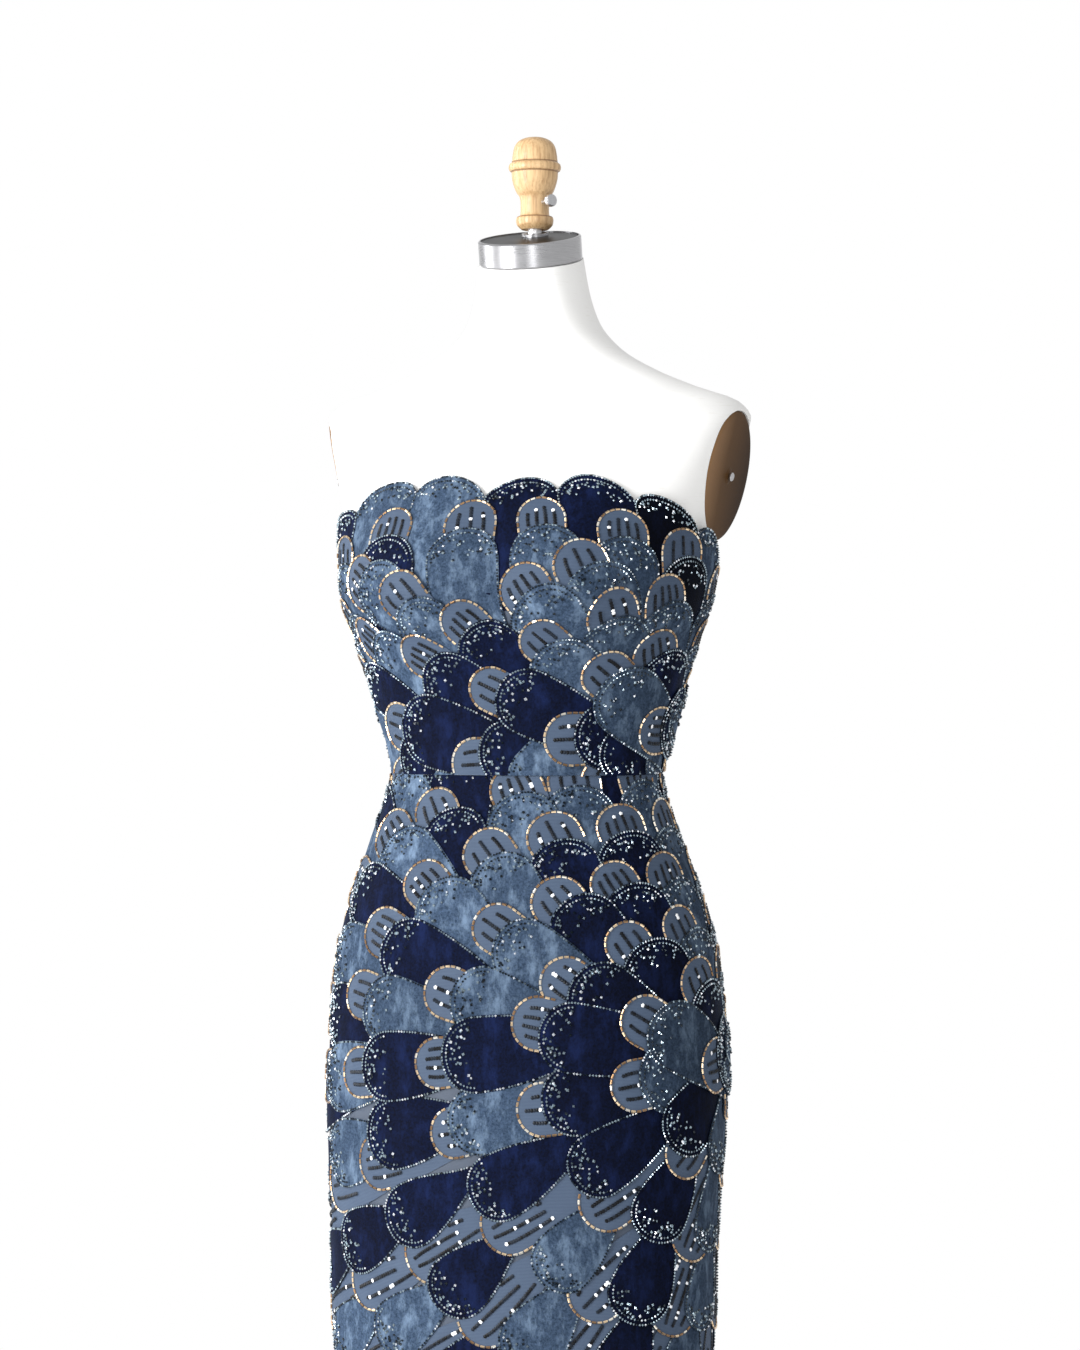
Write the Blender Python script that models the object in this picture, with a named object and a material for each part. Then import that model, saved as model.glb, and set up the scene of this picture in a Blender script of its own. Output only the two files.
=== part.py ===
"""A strapless mermaid evening gown worn by a limbless dress form on a round base.

Metres, +Z up, the gown's front faces -Y and the wearer's left is +X. The origin is on the floor,
in the middle of the base plate. The gown is cut as a bodice front, two bodice backs, a skirt
front and two skirt backs, closed at the centre back by a concealed zip.
"""

from collections import namedtuple
from math import radians, tan

import bmesh
import bpy
import numpy as np
from mathutils import Matrix, Vector

MM = 0.001
GAP = 0.3 * MM  # between pieces that meet

# Heights: the waist seam is the level that every other height is measured from.
WAIST_HEIGHT = 1050 * MM
HEM = -1028 * MM
KNEE = -600 * MM  # where the flare of the skirt starts
TORSO_BOTTOM = -300 * MM
NECK_TOP = 461 * MM
NECK_CENTRE_Y = 14 * MM

WALL = 2.0 * MM  # velvet and net with their beading
EASE = 1.0 * MM  # between the form and the cloth that it fills

# Sections of the form and, below the hip, of the way the skirt falls. Heights are above the waist
# seam, front and back are the reach from the section's own centre, centre_y is how far that
# centre stands behind the pole.
Section = namedtuple("Section", "height half_width front back centre_y")
SECTIONS = [
    Section(HEM, 322 * MM, 318 * MM, 340 * MM, 0),
    Section(-960 * MM, 285 * MM, 276 * MM, 292 * MM, -1 * MM),
    Section(-860 * MM, 234 * MM, 216 * MM, 226 * MM, -3 * MM),
    Section(-760 * MM, 195 * MM, 168 * MM, 172 * MM, -7 * MM),
    Section(-680 * MM, 174 * MM, 137 * MM, 138 * MM, -10 * MM),
    Section(KNEE, 166 * MM, 122 * MM, 122 * MM, -12 * MM),
    Section(-518 * MM, 168.8 * MM, 119 * MM, 118 * MM, -13 * MM),
    Section(-406 * MM, 171.7 * MM, 117 * MM, 119 * MM, -12 * MM),
    Section(-292 * MM, 177.1 * MM, 114 * MM, 126 * MM, -9 * MM),
    Section(-205 * MM, 173.5 * MM, 110 * MM, 129 * MM, -6 * MM),
    Section(-157 * MM, 168 * MM, 107 * MM, 124 * MM, -6 * MM),
    Section(-119 * MM, 157.6 * MM, 104 * MM, 115 * MM, -7 * MM),
    Section(-85 * MM, 145.6 * MM, 100 * MM, 105 * MM, -6 * MM),
    Section(-52 * MM, 132.8 * MM, 96 * MM, 94 * MM, -3 * MM),
    Section(-19 * MM, 122 * MM, 91 * MM, 85 * MM, 0),
    Section(0, 118.4 * MM, 89 * MM, 83 * MM, 0),
    Section(24 * MM, 122.5 * MM, 90 * MM, 83 * MM, 0),
    Section(70 * MM, 134.8 * MM, 94 * MM, 87 * MM, 0),
    Section(120 * MM, 151.6 * MM, 103 * MM, 96 * MM, 0),
    Section(161 * MM, 165.4 * MM, 113 * MM, 105 * MM, 0),
    Section(192 * MM, 169.5 * MM, 114 * MM, 110 * MM, 4 * MM),
    Section(225 * MM, 172 * MM, 109 * MM, 114 * MM, 8 * MM),
    Section(262 * MM, 181 * MM, 100 * MM, 113 * MM, 13 * MM),
    Section(295 * MM, 193 * MM, 90 * MM, 106 * MM, 20 * MM),
    Section(318 * MM, 199 * MM, 80 * MM, 94 * MM, 29 * MM),
    Section(334 * MM, 186 * MM, 69 * MM, 80 * MM, 34 * MM),
    Section(347 * MM, 150 * MM, 60 * MM, 68 * MM, 34 * MM),
    Section(362 * MM, 114 * MM, 55 * MM, 60 * MM, 30 * MM),
    Section(382 * MM, 80 * MM, 52 * MM, 54 * MM, 26 * MM),
    Section(405 * MM, 60 * MM, 52 * MM, 52 * MM, 23 * MM),
    Section(432 * MM, 51 * MM, 51 * MM, 51 * MM, 19 * MM),
    Section(NECK_TOP, 46.5 * MM, 50 * MM, 50 * MM, NECK_CENTRE_Y),
]
SQUARENESS = 2.25  # 2 would make each section an ellipse
SQUARE_BELOW = -700 * MM  # below this the sections are plain ellipses

# The bust: one soft mound each side of the front, bridged by the form's own cover and the cloth.
BUST_RISE = 19 * MM
BUST_HEIGHT = 164 * MM
BUST_ANGLE = radians(34)
BUST_INNER_SPREAD, BUST_OUTER_SPREAD = radians(38), radians(25)
BUST_BELOW, BUST_ABOVE = 46 * MM, 66 * MM

# The flare hangs in flutes that deepen from the knee to the hem.
FLUTES = 10
FLUTE_DEPTH = 17 * MM
FLUTE_DRIFT = 0.45  # makes the flutes unequal in width
FLUTE_GROWTH = 1.5

# The top edge is cut in scallops that run round all three bodice panels, over the seams too.
EdgePoint = namedtuple("EdgePoint", "angle height")
TOP_EDGE = [
    EdgePoint(0, 256 * MM),
    EdgePoint(34, 263 * MM),
    EdgePoint(54, 253 * MM),
    EdgePoint(66, 239 * MM),
    EdgePoint(80, 222 * MM),
    EdgePoint(98, 193 * MM),
    EdgePoint(125, 180 * MM),
    EdgePoint(180, 174 * MM),
]
SCALLOP_COLUMNS = 6  # columns of the panel's mesh across one scallop
FRONT_COLUMNS, BACK_COLUMNS = 42, 21
FIRST_NOTCH = 2  # columns from the wearer's right side seam to the nearest notch
SCALLOP_DROP = 15 * MM
SCALLOP_FULLNESS = 0.93  # 1 would bring the scallops' ends down upright
EDGE_BAND = 5 * MM  # plain cloth between the scallops' notches and the panel's even rows
# Where the bodice's rows lie between the waist seam and that band, closer over the bust.
BODICE_ROWS = (0, 0.09, 0.19, 0.3, 0.41, 0.51, 0.6, 0.67, 0.73, 0.8, 0.89, 1)

# The concealed zip at the centre back.
ZIP_WIDTH = 3.4 * MM
ZIP_END = -190 * MM
SLIDER = Vector((6 * MM, 3 * MM, 9 * MM))
SLIDER_BELOW_EDGE = 14 * MM
LUG = Vector((1 * MM, 3.4 * MM, 3 * MM))
LUG_REACH = 2.2 * MM  # from the middle of the slider to the middle of each lug
PULL_PIN_RADIUS = 0.6 * MM
PULL_EYE_RADIUS, PULL_EYE_LENGTH = 1.4 * MM, 3 * MM
PULL = Vector((2.6 * MM, 1.2 * MM, 19 * MM))  # the tab, at its narrow upper end
PULL_WIDENS = 1.9

# The armhole plates and the flat cuts that carry them.
ARM_CENTRE = Vector((182.5 * MM, 19 * MM, 265 * MM))
ARM_TURN = radians(12)  # towards the front
ARM_LEAN = radians(12)  # the top stands further out
ARM_CUT_BOTTOM = 195 * MM
ARM_ROUNDING = 3 * MM
PLATE_WIDTH, PLATE_HEIGHT, PLATE_THICK = 88 * MM, 118 * MM, 3 * MM
PLATE_DOME = 1.5 * MM
PLATE_SET_BACK = 1 * MM  # from the cut's plane to the plate's rim
PLATE_SUNK = 3.4 * MM  # from the plate's rim to the floor of the recess that holds it
SCREW_HEAD_RADIUS, SCREW_HEAD_THICK = 4 * MM, 1.8 * MM

# The neck cap, tilted forward, and the finial on its rod.
NECK_TILT = radians(14)
CAP_HALF_WIDTH, CAP_HALF_DEPTH, CAP_THICK = 46.5 * MM, 50 * MM, 22 * MM
CAP_PLATE_INSET, CAP_PLATE_THICK = 2.5 * MM, 1.2 * MM
CAP_RECESS = 2.5 * MM
ROD_Y = 27 * MM
ROD_RADIUS = 6.3 * MM
BOSS_RADIUS, BOSS_THICK = 12 * MM, 2.5 * MM
FINIAL_BOTTOM = 492 * MM
RUNNING = 0.1 * MM  # clearance of a piece that turns in another
SOCKET_DEPTH = 36 * MM
SET_SCREW_HEIGHT = 24 * MM  # above the finial's foot
SET_SCREW_TURN = radians(-39)  # the screw points this far in front of the wearer's left
SET_SCREW_RADIUS = 2.2 * MM

# The stand, hidden by the skirt.
POLE_RADIUS = 14 * MM
BASE_RADIUS, BASE_THICK, BASE_CHAMFER = 190 * MM, 12 * MM, 3 * MM
COLLAR_RADIUS, COLLAR_HEIGHT = 30 * MM, 45 * MM


def curve_through(places, values):
    """A smooth curve through the points, flat at each high and low one, so it never overshoots."""
    places, values = np.array(places, float), np.array(values, float)
    steps = np.diff(places)
    slopes = np.diff(values) / steps
    tangents = np.zeros(len(values))
    before, after = slopes[:-1], slopes[1:]
    climbing = before * after > 0
    tangents[1:-1][climbing] = (2 * before * after)[climbing] / (before + after)[climbing]
    tangents[0], tangents[-1] = slopes[0], slopes[-1]

    def at(place):
        span = np.clip(np.searchsorted(places, place) - 1, 0, len(steps) - 1)
        t = (place - places[span]) / steps[span]
        rise = values[span + 1] - values[span]
        return (
            values[span]
            + rise * t * t * (3 - 2 * t)
            + steps[span] * t * (1 - t) * (tangents[span] * (1 - t) - tangents[span + 1] * t)
        )

    return at


LEVELS = [section.height for section in SECTIONS]
half_width_at = curve_through(LEVELS, [section.half_width for section in SECTIONS])
front_at = curve_through(LEVELS, [section.front for section in SECTIONS])
back_at = curve_through(LEVELS, [section.back for section in SECTIONS])
centre_at = curve_through(LEVELS, [section.centre_y for section in SECTIONS])
edge_height_at = curve_through(
    [radians(point.angle) for point in TOP_EDGE], [point.height for point in TOP_EDGE]
)


def bust_swell(angle, height):
    """How far the bust stands out of the plain section. angle 0 is the centre front."""
    aside = abs(angle) - BUST_ANGLE
    spread = BUST_OUTER_SPREAD if aside > 0 else BUST_INNER_SPREAD
    reach = BUST_BELOW if height < BUST_HEIGHT else BUST_ABOVE
    return BUST_RISE * np.exp(-((aside / spread) ** 2) - ((height - BUST_HEIGHT) / reach) ** 2)


def flute_swell(angle, height):
    """How far a flute of the flare stands out, or in where it is negative."""
    share = max(0.0, (KNEE - height) / (KNEE - HEM))
    wave = np.cos(FLUTES * angle + FLUTE_DRIFT * np.sin(3 * angle))
    return FLUTE_DEPTH * share**FLUTE_GROWTH * wave


def body_point(angle, height):
    """The point of the form, or of the skirt below it, at an angle round the body."""
    sine, cosine = np.sin(angle), np.cos(angle)
    depth = front_at(height) if cosine > 0 else back_at(height)
    square = 2 + (SQUARENESS - 2) * np.clip((height - SQUARE_BELOW) / (KNEE - SQUARE_BELOW), 0, 1)
    shape = (abs(sine) / half_width_at(height)) ** square + (abs(cosine) / depth) ** square
    radius = shape ** (-1 / square)
    radius += bust_swell(angle, height) + flute_swell(angle, height)
    y = centre_at(height) - radius * cosine
    return Vector((radius * sine, y, WAIST_HEIGHT + height))


def surface(angle, height, out=0.0):
    """The body's point moved out by out, square to the surface."""
    step = 0.004
    round_it = body_point(angle + step, height) - body_point(angle - step, height)
    up_it = body_point(angle, height + step) - body_point(angle, height - step)
    return body_point(angle, height) + round_it.cross(up_it).normalized() * out


def object_of(name, mesh, material, collection="gown_on_form"):
    """Links a mesh as an object with its material, in the named collection."""
    made = bpy.data.objects.new(name, mesh)
    if material:
        made.data.materials.append(material)
    bpy.data.collections[collection].objects.link(made)
    return made


def material_of(name, colour, roughness, metallic=0.0):
    made = bpy.data.materials.new(name)
    made.use_nodes = True
    shader = made.node_tree.nodes["Principled BSDF"]
    shader.inputs["Base Color"].default_value = (*colour, 1)
    shader.inputs["Roughness"].default_value = roughness
    shader.inputs["Metallic"].default_value = metallic
    made.diffuse_color = (*colour, 1)
    return made


def mesh_from(bm, name):
    mesh = bpy.data.meshes.new(name)
    bm.to_mesh(mesh)
    bm.free()
    mesh.shade_smooth()
    return mesh


def sheet_mesh(name, columns, rows, place):
    """A grid of cloth: place(column, row) gives each point, faces look outwards."""
    bm = bmesh.new()
    bmesh.ops.create_grid(bm, x_segments=columns, y_segments=rows, size=0.5)
    for vert in bm.verts:
        column = round((vert.co.x + 0.5) * columns)
        row = round((vert.co.y + 0.5) * rows)
        vert.co = place(column, row)
    bm.normal_update()
    middle = next(iter(bm.faces))
    centre = middle.calc_center_median()
    if middle.normal.dot(Vector((centre.x, centre.y, 0))) < 0:
        bmesh.ops.reverse_faces(bm, faces=bm.faces)
    return mesh_from(bm, name)


def cloth_panel(name, columns, rows, place, material):
    """One cut panel: its outer and inner faces, closed round the edge by the cloth's thickness."""
    grid = [(column, row) for row in range(rows + 1) for column in range(columns + 1)]
    points = [place(column, row, out) for out in (EASE + WALL, EASE) for column, row in grid]
    wide, inner = columns + 1, len(grid)
    faces = []
    for row in range(rows):
        for corner in range(row * wide, row * wide + columns):
            quad = (corner, corner + 1, corner + wide + 1, corner + wide)
            faces += [quad, tuple(inner + i for i in reversed(quad))]
    rim = [
        *range(columns),
        *range(columns, inner - 1, wide),
        *range(inner - 1, inner - 1 - columns, -1),
        *range(inner - 1 - columns, 0, -wide),
    ]
    for here, beyond in zip(rim, rim[1:] + rim[:1]):
        faces.append((beyond, here, inner + here, inner + beyond))
    mesh = bpy.data.meshes.new(name)
    mesh.from_pydata(points, [], faces)
    mesh.shade_smooth()
    return object_of(name, mesh, material)


def angles_by_arc(start, end, count, height):
    """count + 1 angles that part the section between two angles into equal lengths of cloth."""
    fine = np.linspace(start, end, 181)
    points = np.array([surface(angle, height) for angle in fine])
    arcs = np.concatenate([[0], np.cumsum(np.linalg.norm(np.diff(points, axis=0), axis=1))])
    return np.interp(np.linspace(0, arcs[-1], count + 1), arcs, fine)


def top_edge(angle, column):
    """The height of the scalloped edge at a column counted from the wearer's right side seam."""
    across = 2 * ((column - FIRST_NOTCH) % SCALLOP_COLUMNS) / SCALLOP_COLUMNS - 1
    full = SCALLOP_FULLNESS
    drop = (1 - (1 - full * across * across) ** 0.5) / (1 - (1 - full) ** 0.5)
    return edge_height_at(abs(angle)) - SCALLOP_DROP * drop


def bodice_panel(name, start, end, columns, first_column, material):
    """A bodice panel between two angles, from the waist seam to the scalloped edge."""
    angles = angles_by_arc(start, end, columns, edge_height_at(0) - SCALLOP_DROP)
    rows = len(BODICE_ROWS)

    def place(column, row, out):
        angle = angles[column]
        even_top = edge_height_at(abs(angle)) - SCALLOP_DROP - EDGE_BAND
        height = GAP / 2 + (even_top - GAP / 2) * BODICE_ROWS[min(row, rows - 1)]
        if row == rows:
            height = top_edge(angle, first_column + column)
        return inset_for_zip(surface(angle, height, out), angle, height, start, end)

    return cloth_panel(name, columns, rows, place, material)


def inset_for_zip(point, angle, height, start, end):
    """Moves a panel's edge in by half a seam's gap, or by half the zip where the zip lies."""
    for edge, inwards in ((start, 1), (end, -1)):
        if abs(angle - edge) > 1e-6:
            continue
        at_back = abs(abs(edge) - np.pi) < 1e-6
        zip_here = at_back and height >= ZIP_END
        inset = GAP / 2 + ((ZIP_WIDTH + GAP) / 2 if zip_here else 0)
        along = Vector((np.cos(angle), np.sin(angle), 0))
        return point + along * inset * inwards
    return point


HIP_LEVELS = [*(level * MM for level in (-24, -50, -78, -108, -145)), ZIP_END]
SKIRT_LEVELS = [  # top to bottom
    -GAP / 2,
    *HIP_LEVELS,
    ZIP_END - ZIP_WIDTH / 2,
    *(level * MM for level in (-240, -300, -370, -450, -530)),
    KNEE,
    *(level * MM for level in (-650, -700, -755, -815, -880, -950)),
    HEM,
]
FLUTE_COLUMNS = 6


def skirt_panel(name, start, end, flutes, material):
    """A skirt panel between two angles, from the waist seam to the fluted hem."""
    columns = round(flutes * FLUTE_COLUMNS)
    angles = np.linspace(start, end, columns + 1)

    def place(column, row, out):
        angle, height = angles[column], SKIRT_LEVELS[-1 - row]
        return inset_for_zip(surface(angle, height, out), angle, height, start, end)

    return cloth_panel(name, columns, len(SKIRT_LEVELS) - 1, place, material)


def back_zip(material):
    """The closed concealed zip: a narrow strip flush with the cloth, down the centre back."""
    top = edge_height_at(np.pi) - SCALLOP_DROP
    levels = np.linspace(ZIP_END + GAP, top, 28)

    def place(column, row, out):
        point = surface(np.pi, levels[row], out)
        return point + Vector(((0.5 - column) * ZIP_WIDTH, 0, 0))

    return cloth_panel("back_zip", 1, len(levels) - 1, place, material)


def box_mesh(name, size, bevel):
    bm = bmesh.new()
    bmesh.ops.create_cube(bm, size=1)
    bmesh.ops.scale(bm, vec=size, verts=bm.verts)
    bmesh.ops.bevel(bm, geom=bm.edges, offset=bevel, segments=2, affect="EDGES", profile=0.5)
    return mesh_from(bm, name)


def turned(name, outline, segments, squash=1.0):
    """A solid turned round Z from pairs of radius and height, top to bottom down the outside.

    An outline that ends where it starts makes a ring.
    """
    bm = bmesh.new()
    turns = np.linspace(0, 2 * np.pi, segments, endpoint=False)
    rings = []
    for radius, height in outline:
        spots = [(radius * np.cos(a), radius * squash * np.sin(a), height) for a in turns]
        rings.append([bm.verts.new(spot) for spot in (spots if radius else spots[:1])])
    if outline[0] == outline[-1]:
        bmesh.ops.delete(bm, geom=rings.pop(), context="VERTS")
        rings.append(rings[0])
    for upper, lower in zip(rings, rings[1:]):
        for here in range(segments):
            beyond = (here + 1) % segments
            corners = [upper[here % len(upper)], lower[here % len(lower)]]
            corners += [lower[beyond % len(lower)], upper[beyond % len(upper)]]
            bm.faces.new(dict.fromkeys(corners))
    return mesh_from(bm, name)


def round_bar(name, radius, length, segments=24, squash=1.0, chamfer=0.0):
    """A round or oval bar along Z, centred on its origin."""
    end = length / 2
    outline = [(0, end), (radius - chamfer, end), (radius, end - chamfer)]
    if not chamfer:
        outline.pop()
    outline += [(reach, -height) for reach, height in reversed(outline)]
    return turned(name, outline, segments, squash)


def join_with(target, helper, operation):
    """Unites a helper solid with the target, or cuts it away, and hides the helper."""
    helper.hide_render = True
    helper.display_type = "WIRE"
    step = target.modifiers.new(helper.name, "BOOLEAN")
    step.operation = operation
    step.object = helper


def arm_normal(side):
    """The way the armhole plate on one side faces: out, a little forward and a little down."""
    flat = Vector((side * np.cos(ARM_TURN), -np.sin(ARM_TURN), 0))
    return (flat * np.cos(ARM_LEAN) - Vector((0, 0, np.sin(ARM_LEAN)))).normalized()


def arm_centre(side):
    return Vector((side * ARM_CENTRE.x, ARM_CENTRE.y, WAIST_HEIGHT + ARM_CENTRE.z))


def flattened(point, height):
    """Brings what reaches past an armhole's cut back to its plane, with a rounded rim."""
    if height < ARM_CUT_BOTTOM:
        return point
    for side in (-1, 1):
        normal = arm_normal(side)
        past = (point - arm_centre(side)).dot(normal)
        kept = -ARM_ROUNDING * np.logaddexp(0, -past / ARM_ROUNDING)
        point = point + normal * (kept - past)
    return point


TORSO_LEVELS = [
    TORSO_BOTTOM,
    -240 * MM,
    *reversed(HIP_LEVELS),
    *(level * MM for level in (0, 14, 28, 44, 62, 80, 96, 112, 128, 144, 160, 178)),
    *(level * MM for level in (195, 215, 235, 255, 275, 295, 312, 325, 334, 341, 348, 356, 366)),
    *(level * MM for level in (380, 396, 415, 435)),
    NECK_TOP,
]
TORSO_COLUMNS = 36
LOWER_RIM = 6 * MM


def torso(material):
    """The form's body: a closed solid from the hip board to the neck, cut flat at the arms."""

    def place(column, row):
        height = TORSO_LEVELS[row]
        out = -LOWER_RIM if row == 0 else 0.0
        point = surface(np.pi * (2 * column / TORSO_COLUMNS - 1), height, out)
        lift = np.clip((height - TORSO_LEVELS[-6]) / (NECK_TOP - TORSO_LEVELS[-6]), 0, 1)
        point.z += lift * tan(NECK_TILT) * (point.y - centre_at(height))
        return flattened(point, height)

    mesh = sheet_mesh("torso", TORSO_COLUMNS, len(TORSO_LEVELS) - 1, place)
    bm = bmesh.new()
    bm.from_mesh(mesh)
    bmesh.ops.remove_doubles(bm, verts=bm.verts, dist=0.00001)
    bmesh.ops.holes_fill(bm, edges=bm.edges, sides=0)
    bmesh.ops.recalc_face_normals(bm, faces=bm.faces)
    return object_of("torso", mesh_from(bm, "torso"), material)


def arm_plates(body, plate_finish, screw_finish):
    """The slightly domed oval plates let into the armhole cuts, each with its fixing screw."""
    wide, squash = PLATE_WIDTH / 2, PLATE_HEIGHT / PLATE_WIDTH
    dome = [(0, PLATE_DOME), (wide * 0.5, PLATE_DOME * 0.78), (wide * 0.85, PLATE_DOME * 0.32)]
    dome += [(wide, 0), (wide, -PLATE_THICK), (0, -PLATE_THICK)]
    for side, word in ((1, "left"), (-1, "right")):
        normal = arm_normal(side)
        across = normal.cross(Vector((0, 0, 1))).normalized()
        turn = Matrix((across, normal.cross(across), normal)).transposed().to_4x4()
        seat = Matrix.Translation(arm_centre(side) - normal * PLATE_SET_BACK) @ turn
        recess_mesh = round_bar(
            f"arm_recess_{word}", wide + GAP, 2 * PLATE_SUNK, segments=32, squash=squash
        )
        recess = object_of(f"arm_recess_{word}", recess_mesh, None, "helpers")
        recess.matrix_world = seat
        join_with(body, recess, "DIFFERENCE")
        plate_mesh = turned(f"arm_plate_{word}", dome, 32, squash)
        plate = object_of(f"arm_plate_{word}", plate_mesh, plate_finish)
        plate.matrix_world = seat
        head_mesh = round_bar(
            f"arm_screw_{word}", SCREW_HEAD_RADIUS, SCREW_HEAD_THICK, segments=16, chamfer=0.5 * MM
        )
        head = object_of(f"arm_screw_{word}", head_mesh, screw_finish)
        lift = PLATE_DOME + GAP + SCREW_HEAD_THICK / 2
        head.matrix_world = seat @ Matrix.Translation((0, 0, lift))


def neck_cap(band_finish, plate_finish):
    """The brushed band that closes the neck, and the dark plate let into its top."""
    tilt = Matrix.Rotation(NECK_TILT, 4, "X")
    foot = Matrix.Translation((0, NECK_CENTRE_Y, WAIST_HEIGHT + NECK_TOP)) @ tilt
    band = object_of(
        "neck_band",
        round_bar(
            "neck_band",
            CAP_HALF_WIDTH,
            CAP_THICK,
            segments=40,
            squash=CAP_HALF_DEPTH / CAP_HALF_WIDTH,
            chamfer=1.2 * MM,
        ),
        band_finish,
    )
    band.matrix_world = foot @ Matrix.Translation((0, 0, GAP + CAP_THICK / 2))
    plate = object_of(
        "neck_plate",
        round_bar(
            "neck_plate",
            CAP_HALF_WIDTH - CAP_PLATE_INSET,
            CAP_PLATE_THICK,
            segments=40,
            squash=(CAP_HALF_DEPTH - CAP_PLATE_INSET) / (CAP_HALF_WIDTH - CAP_PLATE_INSET),
        ),
        plate_finish,
    )
    recess_mesh = round_bar(
        "neck_recess",
        CAP_HALF_WIDTH - CAP_PLATE_INSET + GAP,
        2 * CAP_RECESS,
        segments=40,
        squash=(CAP_HALF_DEPTH - CAP_PLATE_INSET + GAP) / (CAP_HALF_WIDTH - CAP_PLATE_INSET + GAP),
    )
    recess = object_of("neck_recess", recess_mesh, None, "helpers")
    recess.matrix_world = foot @ Matrix.Translation((0, 0, GAP + CAP_THICK))
    join_with(band, recess, "DIFFERENCE")
    lift = GAP + CAP_THICK - CAP_RECESS + GAP + CAP_PLATE_THICK / 2
    plate.matrix_world = foot @ Matrix.Translation((0, 0, lift))
    return foot, lift + CAP_PLATE_THICK / 2


def neck_rod(foot, cap_top, material):
    """The steel rod that carries the finial, standing in a boss that follows the cap's tilt."""
    lift = cap_top + GAP + BOSS_THICK / 2
    back = (ROD_Y - NECK_CENTRE_Y + lift * np.sin(NECK_TILT)) / np.cos(NECK_TILT)
    boss = object_of("neck_rod", round_bar("neck_rod", BOSS_RADIUS, BOSS_THICK, 28), material)
    boss.matrix_world = foot @ Matrix.Translation((0, back, lift))
    low = boss.matrix_world.translation.z
    top = WAIST_HEIGHT + FINIAL_BOTTOM + SOCKET_DEPTH - RUNNING
    bar_mesh = round_bar("neck_rod_bar", ROD_RADIUS, top - low, 32)
    bar = object_of("neck_rod_bar", bar_mesh, None, "helpers")
    bar.location = (0, ROD_Y, (top + low) / 2)
    join_with(boss, bar, "UNION")


# Turned outline of the finial: radius and height above its foot, top to bottom outside.
FINIAL_OUTLINE = [
    (0, 84.0),
    (6.0, 83.6),
    (12.0, 81.8),
    (16.5, 78.4),
    (19.0, 73.5),
    (20.2, 67.0),
    (21.0, 61.0),
    (23.2, 58.8),
    (23.8, 56.2),
    (23.0, 53.4),
    (21.2, 52.0),
    (20.8, 47.0),
    (19.2, 40.0),
    (16.6, 33.6),
    (13.8, 29.4),
    (12.9, 24.0),
    (12.9, 17.0),
    (13.6, 12.6),
    (16.2, 11.4),
    (17.0, 8.4),
    (16.4, 4.6),
    (14.2, 1.8),
    (12.0, 0.0),
]


def finial(wood, screw_finish):
    """The turned wooden finial with a socket for the rod, and the screw that clamps it there."""
    socket = ROD_RADIUS + RUNNING
    outline = [(radius * MM, height * MM) for radius, height in FINIAL_OUTLINE]
    outline += [(socket, 0), (socket, SOCKET_DEPTH), (0, SOCKET_DEPTH)]
    foot = Vector((0, ROD_Y, WAIST_HEIGHT + FINIAL_BOTTOM))
    body = object_of("finial", turned("finial", outline, 26), wood)
    body.location = foot
    aim = Matrix.Rotation(SET_SCREW_TURN, 4, "Z") @ Matrix.Rotation(radians(90), 4, "Y")
    pivot = foot + Vector((0, 0, SET_SCREW_HEIGHT))
    bore_mesh = round_bar("set_screw_bore", SET_SCREW_RADIUS + RUNNING, 30 * MM, 24)
    bore = object_of("set_screw_bore", bore_mesh, None, "helpers")
    bore.matrix_world = Matrix.Translation(pivot) @ aim @ Matrix.Translation((0, 0, 15 * MM))
    join_with(body, bore, "DIFFERENCE")
    shank = SET_SCREW_RADIUS / MM
    tip = (ROD_RADIUS + RUNNING) / MM
    outline = [(0, 27.3), (4.8, 27.3), (5.7, 26.4), (5.7, 22.9), (4.8, 22.0), (shank, 21.6)]
    outline = [(radius * MM, reach * MM) for radius, reach in [*outline, (shank, tip), (0, tip)]]
    screw = object_of("set_screw", turned("set_screw", outline, 24), screw_finish)
    screw.matrix_world = Matrix.Translation(pivot) @ aim


def stand(material):
    """The round base plate, its collar and the pole that carries the torso."""
    base = object_of(
        "base_plate",
        round_bar("base_plate", BASE_RADIUS, BASE_THICK, segments=40, chamfer=BASE_CHAMFER),
        material,
    )
    base.location.z = BASE_THICK / 2
    foot = BASE_THICK + GAP
    top = foot + COLLAR_HEIGHT
    bore = POLE_RADIUS + GAP
    shoulder = 6 * MM
    collar_outline = [
        (bore, top),
        (COLLAR_RADIUS - shoulder, top),
        (COLLAR_RADIUS, top - shoulder),
        (COLLAR_RADIUS, foot),
        (bore, foot),
        (bore, top),
    ]
    object_of("pole_collar", turned("pole_collar", collar_outline, 24), material)
    pole_top = WAIST_HEIGHT + TORSO_BOTTOM - GAP
    pole = object_of("pole", round_bar("pole", POLE_RADIUS, pole_top - foot, 24), material)
    pole.location.z = (pole_top + foot) / 2


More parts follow.
